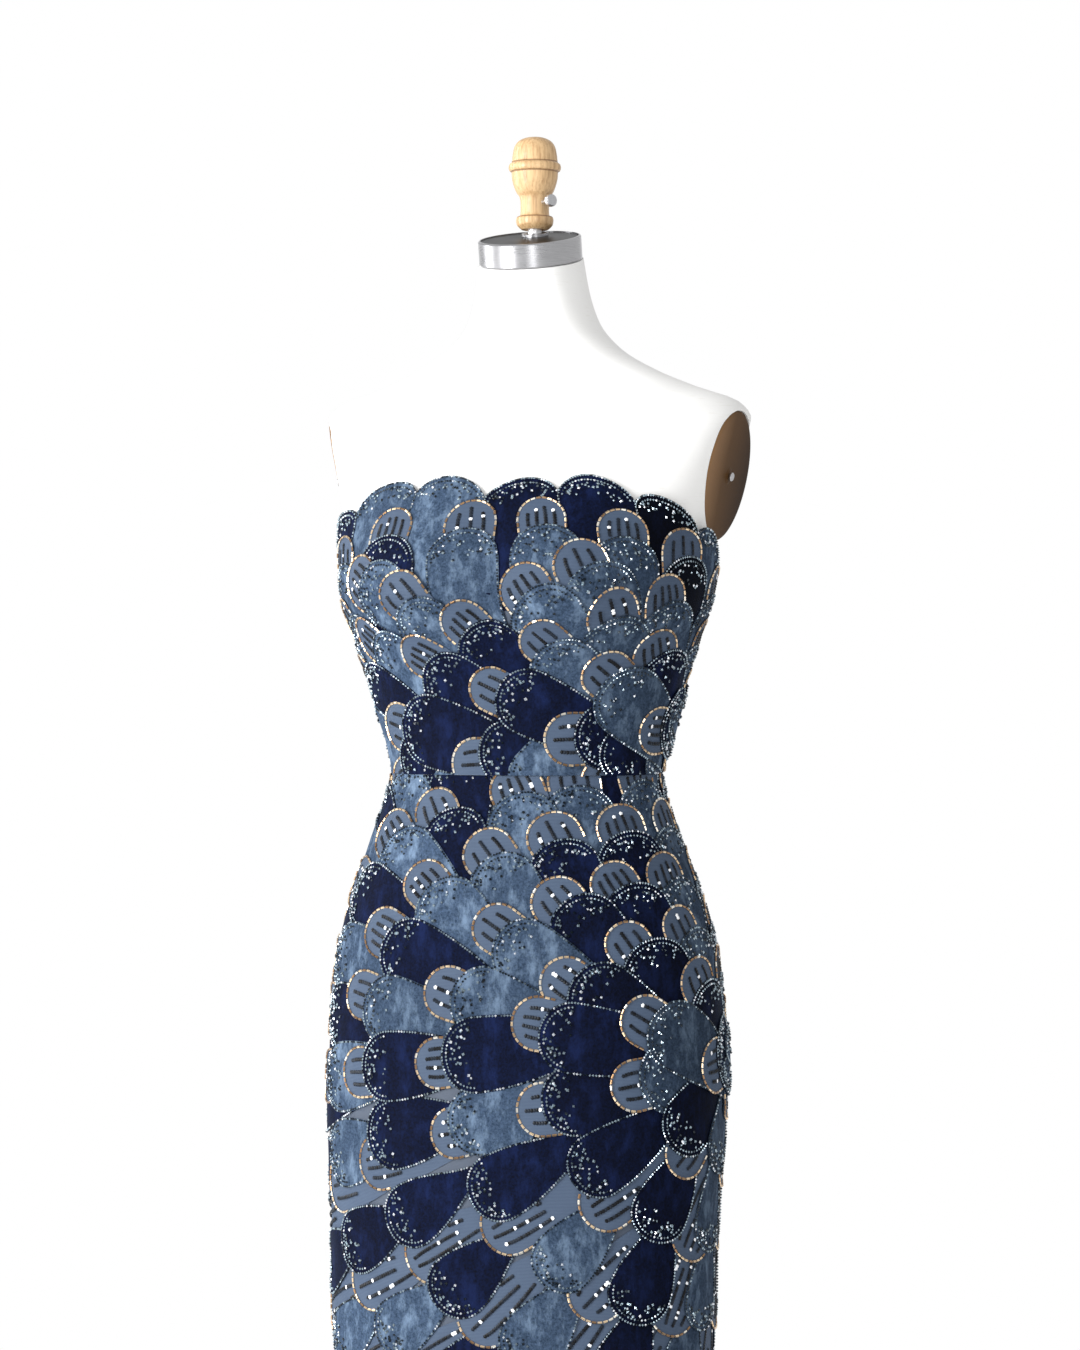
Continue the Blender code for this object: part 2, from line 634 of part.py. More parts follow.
def zip_slider_and_pull(material):
    """The slider at the top of the closed zip, with its tab hanging from a pin between lugs."""
    height = edge_height_at(np.pi) - SCALLOP_DROP - SLIDER_BELOW_EDGE
    seat = surface(np.pi, height, EASE + WALL)
    seat.y = surface(np.pi, height + SLIDER.z / 2, EASE + WALL).y + GAP + SLIDER.y / 2
    slider = object_of("zip_slider", box_mesh("zip_slider", SLIDER, 0.8 * MM), material)
    slider.location = seat
    pivot = seat + Vector((0, SLIDER.y / 2 + PULL_EYE_RADIUS + GAP, 0))
    for side, word in ((-1, "left"), (1, "right")):
        lug_mesh = box_mesh(f"lug_{word}", LUG, 0.3 * MM)
        lug = object_of(f"lug_{word}", lug_mesh, None, "helpers")
        lug.location = pivot + Vector((side * LUG_REACH, -0.6 * MM, 0))
        join_with(slider, lug, "UNION")
    across = Matrix.Translation(pivot) @ Matrix.Rotation(radians(90), 4, "Y")
    pin_mesh = round_bar("pull_pin", PULL_PIN_RADIUS, 2 * LUG_REACH, 12)
    pin = object_of("pull_pin", pin_mesh, None, "helpers")
    pin.matrix_world = across
    join_with(slider, pin, "UNION")

    eye_mesh = round_bar("zip_pull", PULL_EYE_RADIUS, PULL_EYE_LENGTH, 16)
    eye_mesh.transform(Matrix.Rotation(radians(90), 4, "Y"))
    pull = object_of("zip_pull", eye_mesh, material)
    pull.location = pivot
    tab_mesh = box_mesh("pull_tab", PULL, 0.3 * MM)
    for vert in tab_mesh.vertices:
        vert.co.x *= 1 + (PULL_WIDENS - 1) * (0.5 - vert.co.z / PULL.z)
    tab = object_of("pull_tab", tab_mesh, None, "helpers")
    tab.location = pivot - Vector((0, 0, PULL.z / 2))
    join_with(pull, tab, "UNION")
    bore_mesh = round_bar("pull_bore", PULL_PIN_RADIUS + RUNNING, 2 * PULL_EYE_LENGTH, 16)
    bore = object_of("pull_bore", bore_mesh, None, "helpers")
    bore.matrix_world = across
    join_with(pull, bore, "DIFFERENCE")


def build():
    for old in list(bpy.data.objects):
        bpy.data.objects.remove(old)
    for name in ("gown_on_form", "helpers"):
        bpy.context.scene.collection.children.link(bpy.data.collections.new(name))

    cloth = material_of("beaded_velvet", (0.045, 0.075, 0.16), 0.6)
    metal = material_of("brushed_steel", (0.6, 0.6, 0.62), 0.3, 1.0)
    dark = material_of("dark_steel", (0.05, 0.05, 0.055), 0.3, 0.6)
    linen = material_of("white_linen", (0.9, 0.89, 0.86), 0.8)
    wood = material_of("turned_wood", (0.6, 0.36, 0.14), 0.45)
    plate = material_of("brown_plate", (0.24, 0.13, 0.05), 0.4)

    right, left, back = -np.pi / 2, np.pi / 2, np.pi
    bodice_panel("bodice_front", right, left, FRONT_COLUMNS, 0, cloth)
    bodice_panel("bodice_back_left", left, back, BACK_COLUMNS, FRONT_COLUMNS, cloth)
    bodice_panel("bodice_back_right", -back, right, BACK_COLUMNS, -BACK_COLUMNS, cloth)
    skirt_panel("skirt_front", right, left, FLUTES / 2, cloth)
    skirt_panel("skirt_back_left", left, back, FLUTES / 4, cloth)
    skirt_panel("skirt_back_right", -back, right, FLUTES / 4, cloth)
    back_zip(cloth)
    zip_slider_and_pull(metal)

    arm_plates(torso(linen), plate, metal)
    foot, cap_top = neck_cap(metal, dark)
    neck_rod(foot, cap_top, metal)
    finial(wood, metal)
    stand(dark)


build()
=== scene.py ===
"""The looks of a beaded strapless mermaid evening gown on its dress form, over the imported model.

Metres, +Z up, the gown's front faces -Y and the wearer's left is +X. The sections follow the order
in which the piece is put together: the form, the gown's panels, the petals, the beads, then the
armhole covers, the neck, the finial, the zip and the stand.
"""

from collections import namedtuple
from math import cos, pi, radians, sin, tan

import bmesh
import bpy
import numpy as np
from mathutils import Matrix, Vector


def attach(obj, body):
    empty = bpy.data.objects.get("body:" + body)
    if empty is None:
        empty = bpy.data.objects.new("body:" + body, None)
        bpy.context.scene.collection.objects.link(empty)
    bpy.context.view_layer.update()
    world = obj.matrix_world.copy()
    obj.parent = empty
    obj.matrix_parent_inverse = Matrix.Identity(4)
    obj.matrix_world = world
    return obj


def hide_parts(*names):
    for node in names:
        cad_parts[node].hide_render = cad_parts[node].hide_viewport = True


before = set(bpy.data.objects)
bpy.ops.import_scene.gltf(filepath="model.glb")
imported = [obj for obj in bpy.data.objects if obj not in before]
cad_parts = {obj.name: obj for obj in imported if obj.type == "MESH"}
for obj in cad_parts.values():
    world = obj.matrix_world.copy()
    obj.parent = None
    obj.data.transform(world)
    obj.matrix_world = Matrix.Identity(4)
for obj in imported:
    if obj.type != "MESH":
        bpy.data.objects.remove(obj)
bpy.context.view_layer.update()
scene = bpy.context.scene

# Camera: level with the middle of the picture, 15 degrees round towards the wearer's left, far
# enough away that the gown's sides stay upright.
CAMERA_TURN = radians(15)
CAMERA_DISTANCE = 3.2
CAMERA_ASIDE = 0.0117  # the picture's middle stands this far to the wearer's left of the pole
CAMERA_HEIGHT = 1.138
CAMERA_LENS, CAMERA_SENSOR = 94.8, 36  # in millimetres
toward_camera = Vector((sin(CAMERA_TURN), -cos(CAMERA_TURN), 0))
camera_right = Vector((cos(CAMERA_TURN), sin(CAMERA_TURN), 0))
camera = bpy.data.objects.new("camera", bpy.data.cameras.new("camera"))
scene.collection.objects.link(camera)
camera.data.lens, camera.data.sensor_width = CAMERA_LENS, CAMERA_SENSOR
target = camera_right * CAMERA_ASIDE + Vector((0, 0, CAMERA_HEIGHT))
camera.location = target + toward_camera * CAMERA_DISTANCE
camera.rotation_euler = (-toward_camera).to_track_quat("-Z", "Y").to_euler()
scene.camera = camera


# Studio: a pale floor under a pale sky, a large soft light from the wearer's right, which is the
# picture's left, a weaker one further round on that side, and one in front to fill the other.
class Wire:
    """One output of a tree's nodes. Sums, products and the like add Math nodes."""

    def __init__(self, nodes, socket):
        self.nodes, self.socket = nodes, socket

    def maths(self, operation, *values):
        sockets = dict(enumerate(values))
        return self.nodes.node("ShaderNodeMath", {"operation": operation}, sockets)

    def __add__(self, other):
        return self.maths("ADD", self, other)

    def __sub__(self, other):
        return self.maths("SUBTRACT", self, other)

    def __rsub__(self, other):
        return self.maths("SUBTRACT", other, self)

    def __mul__(self, other):
        return self.maths("MULTIPLY", self, other)

    def __gt__(self, other):
        return self.maths("GREATER_THAN", self, other)

    def __lt__(self, other):
        return self.maths("LESS_THAN", self, other)

    __radd__ = __add__
    __rmul__ = __mul__


class Nodes:
    """The nodes of a tree, added one by one."""

    def __init__(self, tree):
        self.tree = tree

    def node(self, kind, settings=None, sockets=None, output=0):
        """Adds a node, sets its settings, then its sockets, and gives one of its outputs."""
        made = self.tree.nodes.new(kind)
        for name, value in (settings or {}).items():
            if name == "stops":
                ramp = made.color_ramp
                while len(ramp.elements) < len(value):
                    ramp.elements.new(0.5)
                for element, (place, colour) in zip(ramp.elements, value):
                    element.position = place
                    element.color = (*colour, 1)
            else:
                setattr(made, name, value)
        self.fill(made, sockets or {})
        return Wire(self, made.outputs[output])

    def fill(self, made, sockets):
        for name, value in sockets.items():
            if isinstance(value, Wire):
                self.tree.links.new(value.socket, made.inputs[name])
            else:
                made.inputs[name].default_value = value


class Finish(Nodes):
    """A material in the making, with its shader."""

    def __init__(self, name):
        self.made = bpy.data.materials.new(name)
        self.made.use_nodes = True
        super().__init__(self.made.node_tree)

    def shader(self, **sockets):
        """Fills the shader's sockets; a word such as base_color names the socket Base Color."""
        for word, value in sockets.items():
            name = word.replace("_", " ").title().replace("Ior", "IOR")
            self.fill(self.tree.nodes["Principled BSDF"], {name: value})
        return self.made

    def mix(self, share, first, second, blend="MIX"):
        """Blends two colours, each a wire or three numbers."""
        first, second = (c if isinstance(c, Wire) else (*c, 1) for c in (first, second))
        settings = {"data_type": "RGBA", "blend_type": blend}
        return self.node("ShaderNodeMix", settings, {0: share, 6: first, 7: second}, output=2)

    def place(self):
        return self.node("ShaderNodeTexCoord", output=3)

    def stretched(self, place, scale, turn=(0, 0, 0)):
        return self.node("ShaderNodeMapping", {}, {"Vector": place, "Scale": scale, "Rotation": turn})

    def noise(self, place, scale, detail=3.0, roughness=0.55):
        sockets = {"Vector": place, "Scale": scale, "Detail": detail, "Roughness": roughness}
        return self.node("ShaderNodeTexNoise", {}, sockets)

    def ramp(self, share, *stops):
        """Reads a share off a ramp whose stops are (place, number) or (place, colour)."""
        stops = [(at, value if isinstance(value, tuple) else (value,) * 3) for at, value in stops]
        return self.node("ShaderNodeValToRGB", {"stops": stops}, {"Fac": share})

    def attribute(self, name):
        return self.node("ShaderNodeAttribute", {"attribute_name": name}, output=2)

    def axis(self, place, number):
        """One number of a place: 0 for X, 1 for Y, 2 for Z."""
        return self.node("ShaderNodeSeparateXYZ", {}, {0: place}, output=number)

    def bump(self, height, distance, strength=1.0):
        sockets = {"Height": height, "Distance": distance, "Strength": strength}
        return self.node("ShaderNodeBump", {}, sockets)


def studio_light(name, place, aim, size, power):
    """A rectangular lamp, turned to face what it lights."""
    light = bpy.data.lights.new(name, "AREA")
    light.shape = "RECTANGLE"
    light.size, light.size_y = size
    light.energy = power
    lamp = bpy.data.objects.new(name, light)
    lamp.location = place
    lamp.rotation_euler = (Vector(aim) - Vector(place)).to_track_quat("-Z", "Y").to_euler()
    scene.collection.objects.link(lamp)


def linked(name, mesh, material=None):
    """Links a mesh as an object of the scene, with its material."""
    made = bpy.data.objects.new(name, mesh)
    if material:
        mesh.materials.append(material)
    scene.collection.objects.link(made)
    return made


def stands_for(made, node, body="gown_and_form"):
    """Shows a piece in place of the solid of the same part, moving with its body."""
    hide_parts(node)
    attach(made, body)


FLOOR_RADIUS = 2.4
floor_mesh = bpy.data.meshes.new("studio_floor")
floor_turn = np.linspace(0, 2 * pi, 96, endpoint=False)
floor_points = [(FLOOR_RADIUS * cos(turn), FLOOR_RADIUS * sin(turn), 0) for turn in floor_turn]
floor_mesh.from_pydata(floor_points, [], [list(range(len(floor_points)))])
pale = Finish("pale_floor")
floor_speckle = pale.noise(pale.place(), 3.0)
pale.shader(base_color=pale.mix(floor_speckle, (0.86, 0.86, 0.86), (0.9, 0.9, 0.9)), roughness=0.9)
studio_floor = linked("studio_floor", floor_mesh, pale.made)

SKY_BEHIND, SKY_BEFORE = 1.0, 0.64  # how bright the sky is behind the gown, and all round it
SKY_EDGE = (0.86, 0.94)  # cosines of the turns from straight behind between which it fades
scene.world = scene.world or bpy.data.worlds.new("sky")
scene.world.use_nodes = True
sky = Nodes(scene.world.node_tree)
facing = sky.node("ShaderNodeTexCoord")
behind = sky.node(
    "ShaderNodeVectorMath", {"operation": "DOT_PRODUCT"}, {0: facing, 1: -toward_camera}, output=1
)
fade = {0: behind, 1: SKY_EDGE[0], 2: SKY_EDGE[1], 3: SKY_BEFORE, 4: SKY_BEHIND}
sky_share = sky.node("ShaderNodeMapRange", {"interpolation_type": "SMOOTHSTEP"}, fade)
background = scene.world.node_tree.nodes["Background"]
background.inputs["Color"].default_value = (1, 1, 1, 1)
scene.world.node_tree.links.new(sky_share.socket, background.inputs["Strength"])
scene.view_settings.view_transform = "Standard"

studio_light("key", (-2.0, -2.6, 1.6), (0, 0, 1.2), (1.0, 2.8), 150)
studio_light("front", (1.5, -3.3, 1.3), (0, 0, 1.1), (0.9, 2.2), 24)
studio_light("side", (-2.9, 0.2, 1.7), (0, 0, 1.1), (0.8, 2.4), 40)

# The form: a smooth limbless body covered in tight white linen, cut flat at the armholes. Below
# the hip the same sections carry on as the way the skirt falls, and everything that lies on the
# form is placed from them. Heights are above the waist seam.
MM = 0.001
GAP = 0.3 * MM
Section = namedtuple("Section", "height half_width front back centre_y")  # in millimetres
SECTIONS = [
    Section(-1028, 322, 318, 340, 0),
    Section(-960, 285, 276, 292, -1),
    Section(-860, 234, 216, 226, -3),
    Section(-760, 195, 168, 172, -7),
    Section(-680, 174, 137, 138, -10),
    Section(-600, 166, 122, 122, -12),
    Section(-518, 168.8, 119, 118, -13),
    Section(-406, 171.7, 117, 119, -12),
    Section(-292, 177.1, 114, 126, -9),
    Section(-205, 173.5, 110, 129, -6),
    Section(-157, 168, 107, 124, -6),
    Section(-119, 157.6, 104, 115, -7),
    Section(-85, 145.6, 100, 105, -6),
    Section(-52, 132.8, 96, 94, -3),
    Section(-19, 122, 91, 85, 0),
    Section(0, 118.4, 89, 83, 0),
    Section(24, 122.5, 90, 83, 0),
    Section(70, 134.8, 94, 87, 0),
    Section(120, 151.6, 103, 96, 0),
    Section(161, 165.4, 113, 105, 0),
    Section(192, 169.5, 114, 110, 4),
    Section(225, 172, 109, 114, 8),
    Section(262, 181, 100, 113, 13),
    Section(295, 193, 90, 106, 20),
    Section(318, 199, 80, 94, 29),
    Section(334, 186, 69, 80, 34),
    Section(347, 150, 60, 68, 34),
    Section(362, 114, 55, 60, 30),
    Section(382, 80, 52, 54, 26),
    Section(405, 60, 52, 52, 23),
    Section(432, 51, 51, 51, 19),
    Section(461, 46.5, 50, 50, 14),
]
WAIST_HEIGHT = 1050 * MM
HEM, NECK_TOP = SECTIONS[0].height * MM, SECTIONS[-1].height * MM
KNEE = -600 * MM
TORSO_BOTTOM = -300 * MM
NECK_CENTRE_Y = SECTIONS[-1].centre_y * MM
NECK_TILT = radians(14)
SQUARENESS = 2.25  # the power of the sections' rounded squares
SQUARE_BELOW = -700 * MM  # where they turn into plain ovals

BUST_RISE = 19 * MM
BUST_HEIGHT = 164 * MM
BUST_ANGLE = radians(34)
BUST_INNER_SPREAD, BUST_OUTER_SPREAD = radians(38), radians(25)
BUST_BELOW, BUST_ABOVE = 46 * MM, 66 * MM
FLUTES = 10
FLUTE_DEPTH = 17 * MM
FLUTE_DRIFT = 0.45
FLUTE_GROWTH = 1.5


def curve_through(places, values):
    """A smooth curve through the points, flat at each high and low one."""
    places, values = np.array(places, float), np.array(values, float)
    steps = np.diff(places)
    slopes = np.diff(values) / steps
    tangents = np.zeros(len(values))
    before, after = slopes[:-1], slopes[1:]
    climbing = before * after > 0
    tangents[1:-1][climbing] = (2 * before * after)[climbing] / (before + after)[climbing]
    tangents[0], tangents[-1] = slopes[0], slopes[-1]

    def at(place):
        span = np.clip(np.searchsorted(places, place) - 1, 0, len(steps) - 1)
        t = (place - places[span]) / steps[span]
        return (
            values[span]
            + (values[span + 1] - values[span]) * t * t * (3 - 2 * t)
            + steps[span] * t * (1 - t) * (tangents[span] * (1 - t) - tangents[span + 1] * t)
        )

    return at


levels, *measures = np.array(SECTIONS).T * MM
half_width_at, front_at, back_at, centre_at = (curve_through(levels, row) for row in measures)


def body_points(angle, height):
    """The points of the form, or of the skirt below it, at angles round the body."""
    angle, height = np.broadcast_arrays(np.asarray(angle, float), np.asarray(height, float))
    sine, cosine = np.sin(angle), np.cos(angle)
    depth = np.where(cosine > 0, front_at(height), back_at(height))
    square = 2 + (SQUARENESS - 2) * np.clip((height - SQUARE_BELOW) / (KNEE - SQUARE_BELOW), 0, 1)
    shape = (abs(sine) / half_width_at(height)) ** square + (abs(cosine) / depth) ** square
    aside = abs((angle + pi) % (2 * pi) - pi) - BUST_ANGLE
    spread = np.where(aside > 0, BUST_OUTER_SPREAD, BUST_INNER_SPREAD)
    reach = np.where(height < BUST_HEIGHT, BUST_BELOW, BUST_ABOVE)
    bust = BUST_RISE * np.exp(-((aside / spread) ** 2) - ((height - BUST_HEIGHT) / reach) ** 2)
    flare = np.clip((KNEE - height) / (KNEE - HEM), 0, None) ** FLUTE_GROWTH
    flute = FLUTE_DEPTH * flare * np.cos(FLUTES * angle + FLUTE_DRIFT * np.sin(3 * angle))
    radius = shape ** (-1 / square) + bust + flute
    y = centre_at(height) - radius * cosine
    return np.stack([radius * sine, y, WAIST_HEIGHT + height], -1)


def unit(vectors):
    """The same ways, each of length 1."""
    return vectors / np.linalg.norm(vectors, axis=-1, keepdims=True)


def outward(angle, height):
    """The way the body's surface faces."""
    step = 0.004
    round_it = body_points(angle + step, height) - body_points(angle - step, height)
    up_it = body_points(angle, height + step) - body_points(angle, height - step)
    return unit(np.cross(round_it, up_it))


def surface(angle, height, out=0.0):
    """The body's points moved out, square to the surface."""
    return body_points(angle, height) + outward(angle, height) * np.asarray(out)[..., None]


ARM_CENTRE = Vector((182.5 * MM, 19 * MM, 265 * MM))
ARM_TURN = radians(12)
ARM_LEAN = radians(12)
ARM_CUT_BOTTOM = 195 * MM
ARM_ROUNDING = 3 * MM
PLATE_WIDTH, PLATE_HEIGHT = 88 * MM, 118 * MM
PLATE_SET_BACK, PLATE_SUNK = 1 * MM, 3.4 * MM
LINEN_COLUMNS = 144
BARE_FROM, TILTED_FROM = 150 * MM, 366 * MM  # where the linen shows, and where the slant starts
COVERED_ROWS, BARE_ROWS = 24, 72


def arm_seat(side):
    """The place and turn of the armhole plate on one side, its local Z facing out."""
    flat = Vector((side * cos(ARM_TURN), -sin(ARM_TURN), 0))
    normal = (flat * cos(ARM_LEAN) - Vector((0, 0, sin(ARM_LEAN)))).normalized()
    across = normal.cross(Vector((0, 0, 1))).normalized()
    turn = Matrix((across, normal.cross(across), normal)).transposed().to_4x4()
    centre = Vector((side * ARM_CENTRE.x, ARM_CENTRE.y, WAIST_HEIGHT + ARM_CENTRE.z))
    return normal, centre, Matrix.Translation(centre - normal * PLATE_SET_BACK) @ turn


def turned(name, outline, segments=96, squash=1.0):
    """A solid turned round Z from pairs of radius and height, top to bottom down the outside."""
    bm = bmesh.new()
    rings = []
    for radius, height in outline:
        spots = np.linspace(0, 2 * pi, segments, endpoint=False) if radius else [0.0]
        rings.append([bm.verts.new((radius * cos(a), radius * squash * sin(a), height)) for a in spots])
    for upper, lower in zip(rings, rings[1:]):
        for here in range(segments):
            beyond = (here + 1) % segments
            corners = [upper[here % len(upper)], lower[here % len(lower)]]
            corners += [lower[beyond % len(lower)], upper[beyond % len(upper)]]
            bm.faces.new(dict.fromkeys(corners))
    mesh = bpy.data.meshes.new(name)
    bm.to_mesh(mesh)
    bm.free()
    mesh.shade_smooth()
    mesh.set_sharp_from_angle(angle=radians(35))
    return mesh


def settled(made):
    """Turns an object with modifiers into a plain mesh object of the same name."""
    plain = bpy.data.meshes.new_from_object(made.evaluated_get(bpy.context.evaluated_depsgraph_get()))
    made.modifiers.clear()
    made.data = plain
    return made


def linen_form():
    """The form's whole skin: the neck's top slants down to the front, the armholes are flat."""
    covered = np.linspace(TORSO_BOTTOM, BARE_FROM, COVERED_ROWS, endpoint=False)
    heights = np.concatenate([covered, np.linspace(BARE_FROM, NECK_TOP, BARE_ROWS)])
    angles = np.linspace(-pi, pi, LINEN_COLUMNS, endpoint=False)
    points = surface(angles[None, :], heights[:, None])
    lift = np.clip((heights - TILTED_FROM) / (NECK_TOP - TILTED_FROM), 0, 1)[:, None]
    points[..., 2] += lift * tan(NECK_TILT) * (points[..., 1] - centre_at(heights)[:, None])
    above = heights > ARM_CUT_BOTTOM
    for side in (-1, 1):
        normal, centre, _ = arm_seat(side)
        past = (points[above] - np.array(centre)) @ np.array(normal)
        kept = -ARM_ROUNDING * np.logaddexp(0, -past / ARM_ROUNDING)
        points[above] += (kept - past)[..., None] * np.array(normal)
    bm = bmesh.new()
    rows = [[bm.verts.new(point) for point in row] for row in points]
    for lower, upper in zip(rows, rows[1:]):
        for here in range(LINEN_COLUMNS):
            beyond = (here + 1) % LINEN_COLUMNS
            bm.faces.new((lower[here], lower[beyond], upper[beyond], upper[here]))
    bm.faces.new(list(reversed(rows[0])))
    bm.faces.new(rows[-1])
    mesh = bpy.data.meshes.new("linen_torso")
    bm.to_mesh(mesh)
    bm.free()
    mesh.shade_smooth()
    return mesh


linen = Finish("white_linen")
weave_place = linen.place()
threads = linen.noise(linen.stretched(weave_place, (900, 900, 5200)), 1.0, 2.0)
crossing = linen.noise(linen.stretched(weave_place, (5200, 5200, 900)), 1.0, 2.0)
linen_weave = threads * 0.5 + crossing * 0.5
slubs = linen.noise(linen.stretched(weave_place, (60, 60, 900)), 1.0, 2.0)
linen_tone = linen.mix(linen_weave, (0.86, 0.855, 0.84), (0.94, 0.937, 0.925))
linen.shader(
    base_color=linen.mix(linen.ramp(slubs, (0.62, 0.0), (0.72, 0.35)), linen_tone, (0.78, 0.76, 0.71)),
    roughness=0.85,
    sheen_weight=0.15,
    normal=linen.bump(linen_weave, 0.15 * MM, 0.5),
)
linen_torso = linked("linen_torso", linen_form(), linen.made)
rim = PLATE_WIDTH / 2 + GAP
cutter_outline = [(0, PLATE_SUNK), (rim, PLATE_SUNK), (rim, -PLATE_SUNK), (0, -PLATE_SUNK)]
for side in (1, -1):
    _, _, seat = arm_seat(side)
    cutter_mesh = turned("recess", cutter_outline, squash=PLATE_HEIGHT / PLATE_WIDTH)
    cutter_mesh.transform(seat)
    cutter = linked("recess", cutter_mesh)
    step = linen_torso.modifiers.new("recess", "BOOLEAN")
    step.operation, step.object = "DIFFERENCE", cutter
    settled(linen_torso)
    bpy.data.objects.remove(cutter)
linen_torso.data.set_sharp_from_angle(angle=radians(50))
stands_for(linen_torso, "torso")

# The gown's six panels: fine net, cut and seamed at the waist, the sides and the centre back,
# which carries the petals. The top edge of the bodice is cut in fourteen scallops all round.
EASE = 0.3 * MM  # between the form and the net
NET_WALL = 1.0 * MM
EdgePoint = namedtuple("EdgePoint", "angle height")
TOP_EDGE = [
    EdgePoint(0, 256 * MM),
    EdgePoint(34, 263 * MM),
    EdgePoint(54, 253 * MM),
    EdgePoint(66, 239 * MM),
    EdgePoint(80, 222 * MM),
    EdgePoint(98, 193 * MM),
    EdgePoint(125, 180 * MM),
    EdgePoint(180, 174 * MM),
]
edge_height_at = curve_through(
    [radians(point.angle) for point in TOP_EDGE], [point.height for point in TOP_EDGE]
)
SCALLOPS = 14
SCALLOP_DROP = 15 * MM
SCALLOP_FULLNESS = 0.93
FIRST_NOTCH = 1 / 3  # of a scallop, from the wearer's right side seam to the nearest notch
FRONT_SCALLOPS, BACK_SCALLOPS = 7, 3.5  # on the front, and on each back
NOTCH_BACK = 0.8 * MM  # the net ends this far inside the petals' edge
ZIP_WIDTH = 3.4 * MM
ZIP_END = -190 * MM
SCALLOP_COLUMNS, BODICE_ROWS = 12, 36  # of the bodice's net
SKIRT_TURN, SKIRT_ROWS = radians(3), 50  # of the skirt's


def even_angles(start, end, count):
    """count + 1 angles that part the top edge between two angles into equal lengths of cloth."""
    fine = np.linspace(start, end, 361)
    points = surface(fine, edge_height_at(0) - SCALLOP_DROP)
    arcs = np.concatenate([[0], np.cumsum(np.linalg.norm(np.diff(points, axis=0), axis=1))])
    return np.interp(np.linspace(0, arcs[-1], count + 1), arcs, fine)


PER_SCALLOP = 24
edge_angles = np.concatenate(
    [
        even_angles(-pi, -pi / 2, int(BACK_SCALLOPS * PER_SCALLOP))[:-1],
        even_angles(-pi / 2, pi / 2, FRONT_SCALLOPS * PER_SCALLOP)[:-1],
        even_angles(pi / 2, pi, int(BACK_SCALLOPS * PER_SCALLOP)),
    ]
)
edge_places = np.arange(len(edge_angles)) / PER_SCALLOP - BACK_SCALLOPS


def angle_of_scallop(place):
    """The angle of a place on the top edge, in scallops from the wearer's right side seam."""
    return np.interp(place, edge_places, edge_angles)


def scallop_drop(across):
    """How far the edge lies below the middle of its scallop, across from -1 to 1."""
    full = SCALLOP_FULLNESS
    return SCALLOP_DROP * (1 - np.sqrt(1 - full * across**2)) / (1 - (1 - full) ** 0.5)


def shell_faces(columns, rows):
    """The faces of a closed thin sheet: its outer grid, its inner one and the edge all round."""
    wide, count = columns + 1, (columns + 1) * (rows + 1)
    corner = (np.arange(rows)[:, None] * wide + np.arange(columns)).ravel()
    outer = np.stack([corner, corner + 1, corner + wide + 1, corner + wide], 1)
    rim = [*range(columns), *range(columns, count - 1, wide)]
    rim += [*range(count - 1, count - 1 - columns, -1), *range(count - 1 - columns, 0, -wide)]
    rim = np.array(rim)
    beyond = np.roll(rim, -1)
    edge = np.stack([beyond, rim, rim + count, beyond + count], 1)
    return np.concatenate([outer, outer[:, ::-1] + count, edge])


def shell(name, columns, rows, place):
    """A closed thin sheet: place(column, row, side) gives its outer and its inner points."""
    column, row = np.meshgrid(np.arange(columns + 1), np.arange(rows + 1))
    points = np.concatenate([place(column, row, side).reshape(-1, 3) for side in (1, 0)])
    mesh = bpy.data.meshes.new(name)
    mesh.from_pydata(points.tolist(), [], shell_faces(columns, rows).tolist())
    mesh.shade_smooth()
    return mesh


def set_in(points, angle, height, start, end):
    """Moves a panel's side edges in by half a seam's gap, or by half the zip's width."""
    for edge, inwards in ((start, 1), (end, -1)):
        here = abs(angle - edge) < 1e-6
        zip_here = (abs(abs(edge) - pi) < 1e-6) & (height >= ZIP_END)
        inset = np.where(here, GAP / 2 + np.where(zip_here, (ZIP_WIDTH + GAP) / 2, 0), 0)
        points = points + inwards * inset[..., None] * np.array([cos(edge), sin(edge), 0])
    return points


Panel = namedtuple("Panel", "start end top low flat area")
RIGHT, LEFT = -pi / 2, pi / 2
# flat is the width and length of the rectangle that each panel is cut from, area the cut's own.
PANELS = {
    "bodice_front": Panel(RIGHT, LEFT, None, 0, (0.45, 0.27), 0.107),
    "bodice_back_left": Panel(LEFT, pi, None, 0, (0.22, 0.23), 0.0346),
    "bodice_back_right": Panel(-pi, RIGHT, None, 0, (0.22, 0.23), 0.0346),
    "skirt_front": Panel(RIGHT, LEFT, 0, HEM, (1.06, 1.07), 0.597),
    "skirt_back_left": Panel(LEFT, pi, 0, HEM, (0.55, 1.07), 0.308),
    "skirt_back_right": Panel(-pi, RIGHT, 0, HEM, (0.55, 1.07), 0.308),
}


def panel_mesh(name, panel):
    """One panel of the net, from seam to seam and from its lower edge to its top."""
    in_bodice = panel.top is None
    if in_bodice:
        first = np.interp(panel.start, edge_angles, edge_places)
        last = np.interp(panel.end, edge_angles, edge_places)
        columns, rows = round((last - first) * SCALLOP_COLUMNS), BODICE_ROWS
        places = np.linspace(first, last, columns + 1)
        angles = angle_of_scallop(places)
        across = 2 * ((places - FIRST_NOTCH) % 1) - 1
        tops = edge_height_at(abs(angles)) - scallop_drop(across) - NOTCH_BACK
        lows = GAP / 2
    else:
        columns, rows = round((panel.end - panel.start) / SKIRT_TURN), SKIRT_ROWS
        angles = np.linspace(panel.start, panel.end, columns + 1)
        tops, lows = np.full(columns + 1, -GAP / 2), HEM

    def place(column, row, side):
        angle = angles[column]
        height = lows + (tops[column] - lows) * row / rows
        points = surface(angle, height, EASE + NET_WALL * side)
        return set_in(points, angle, height, panel.start, panel.end)

    return shell(name, columns, rows, place)


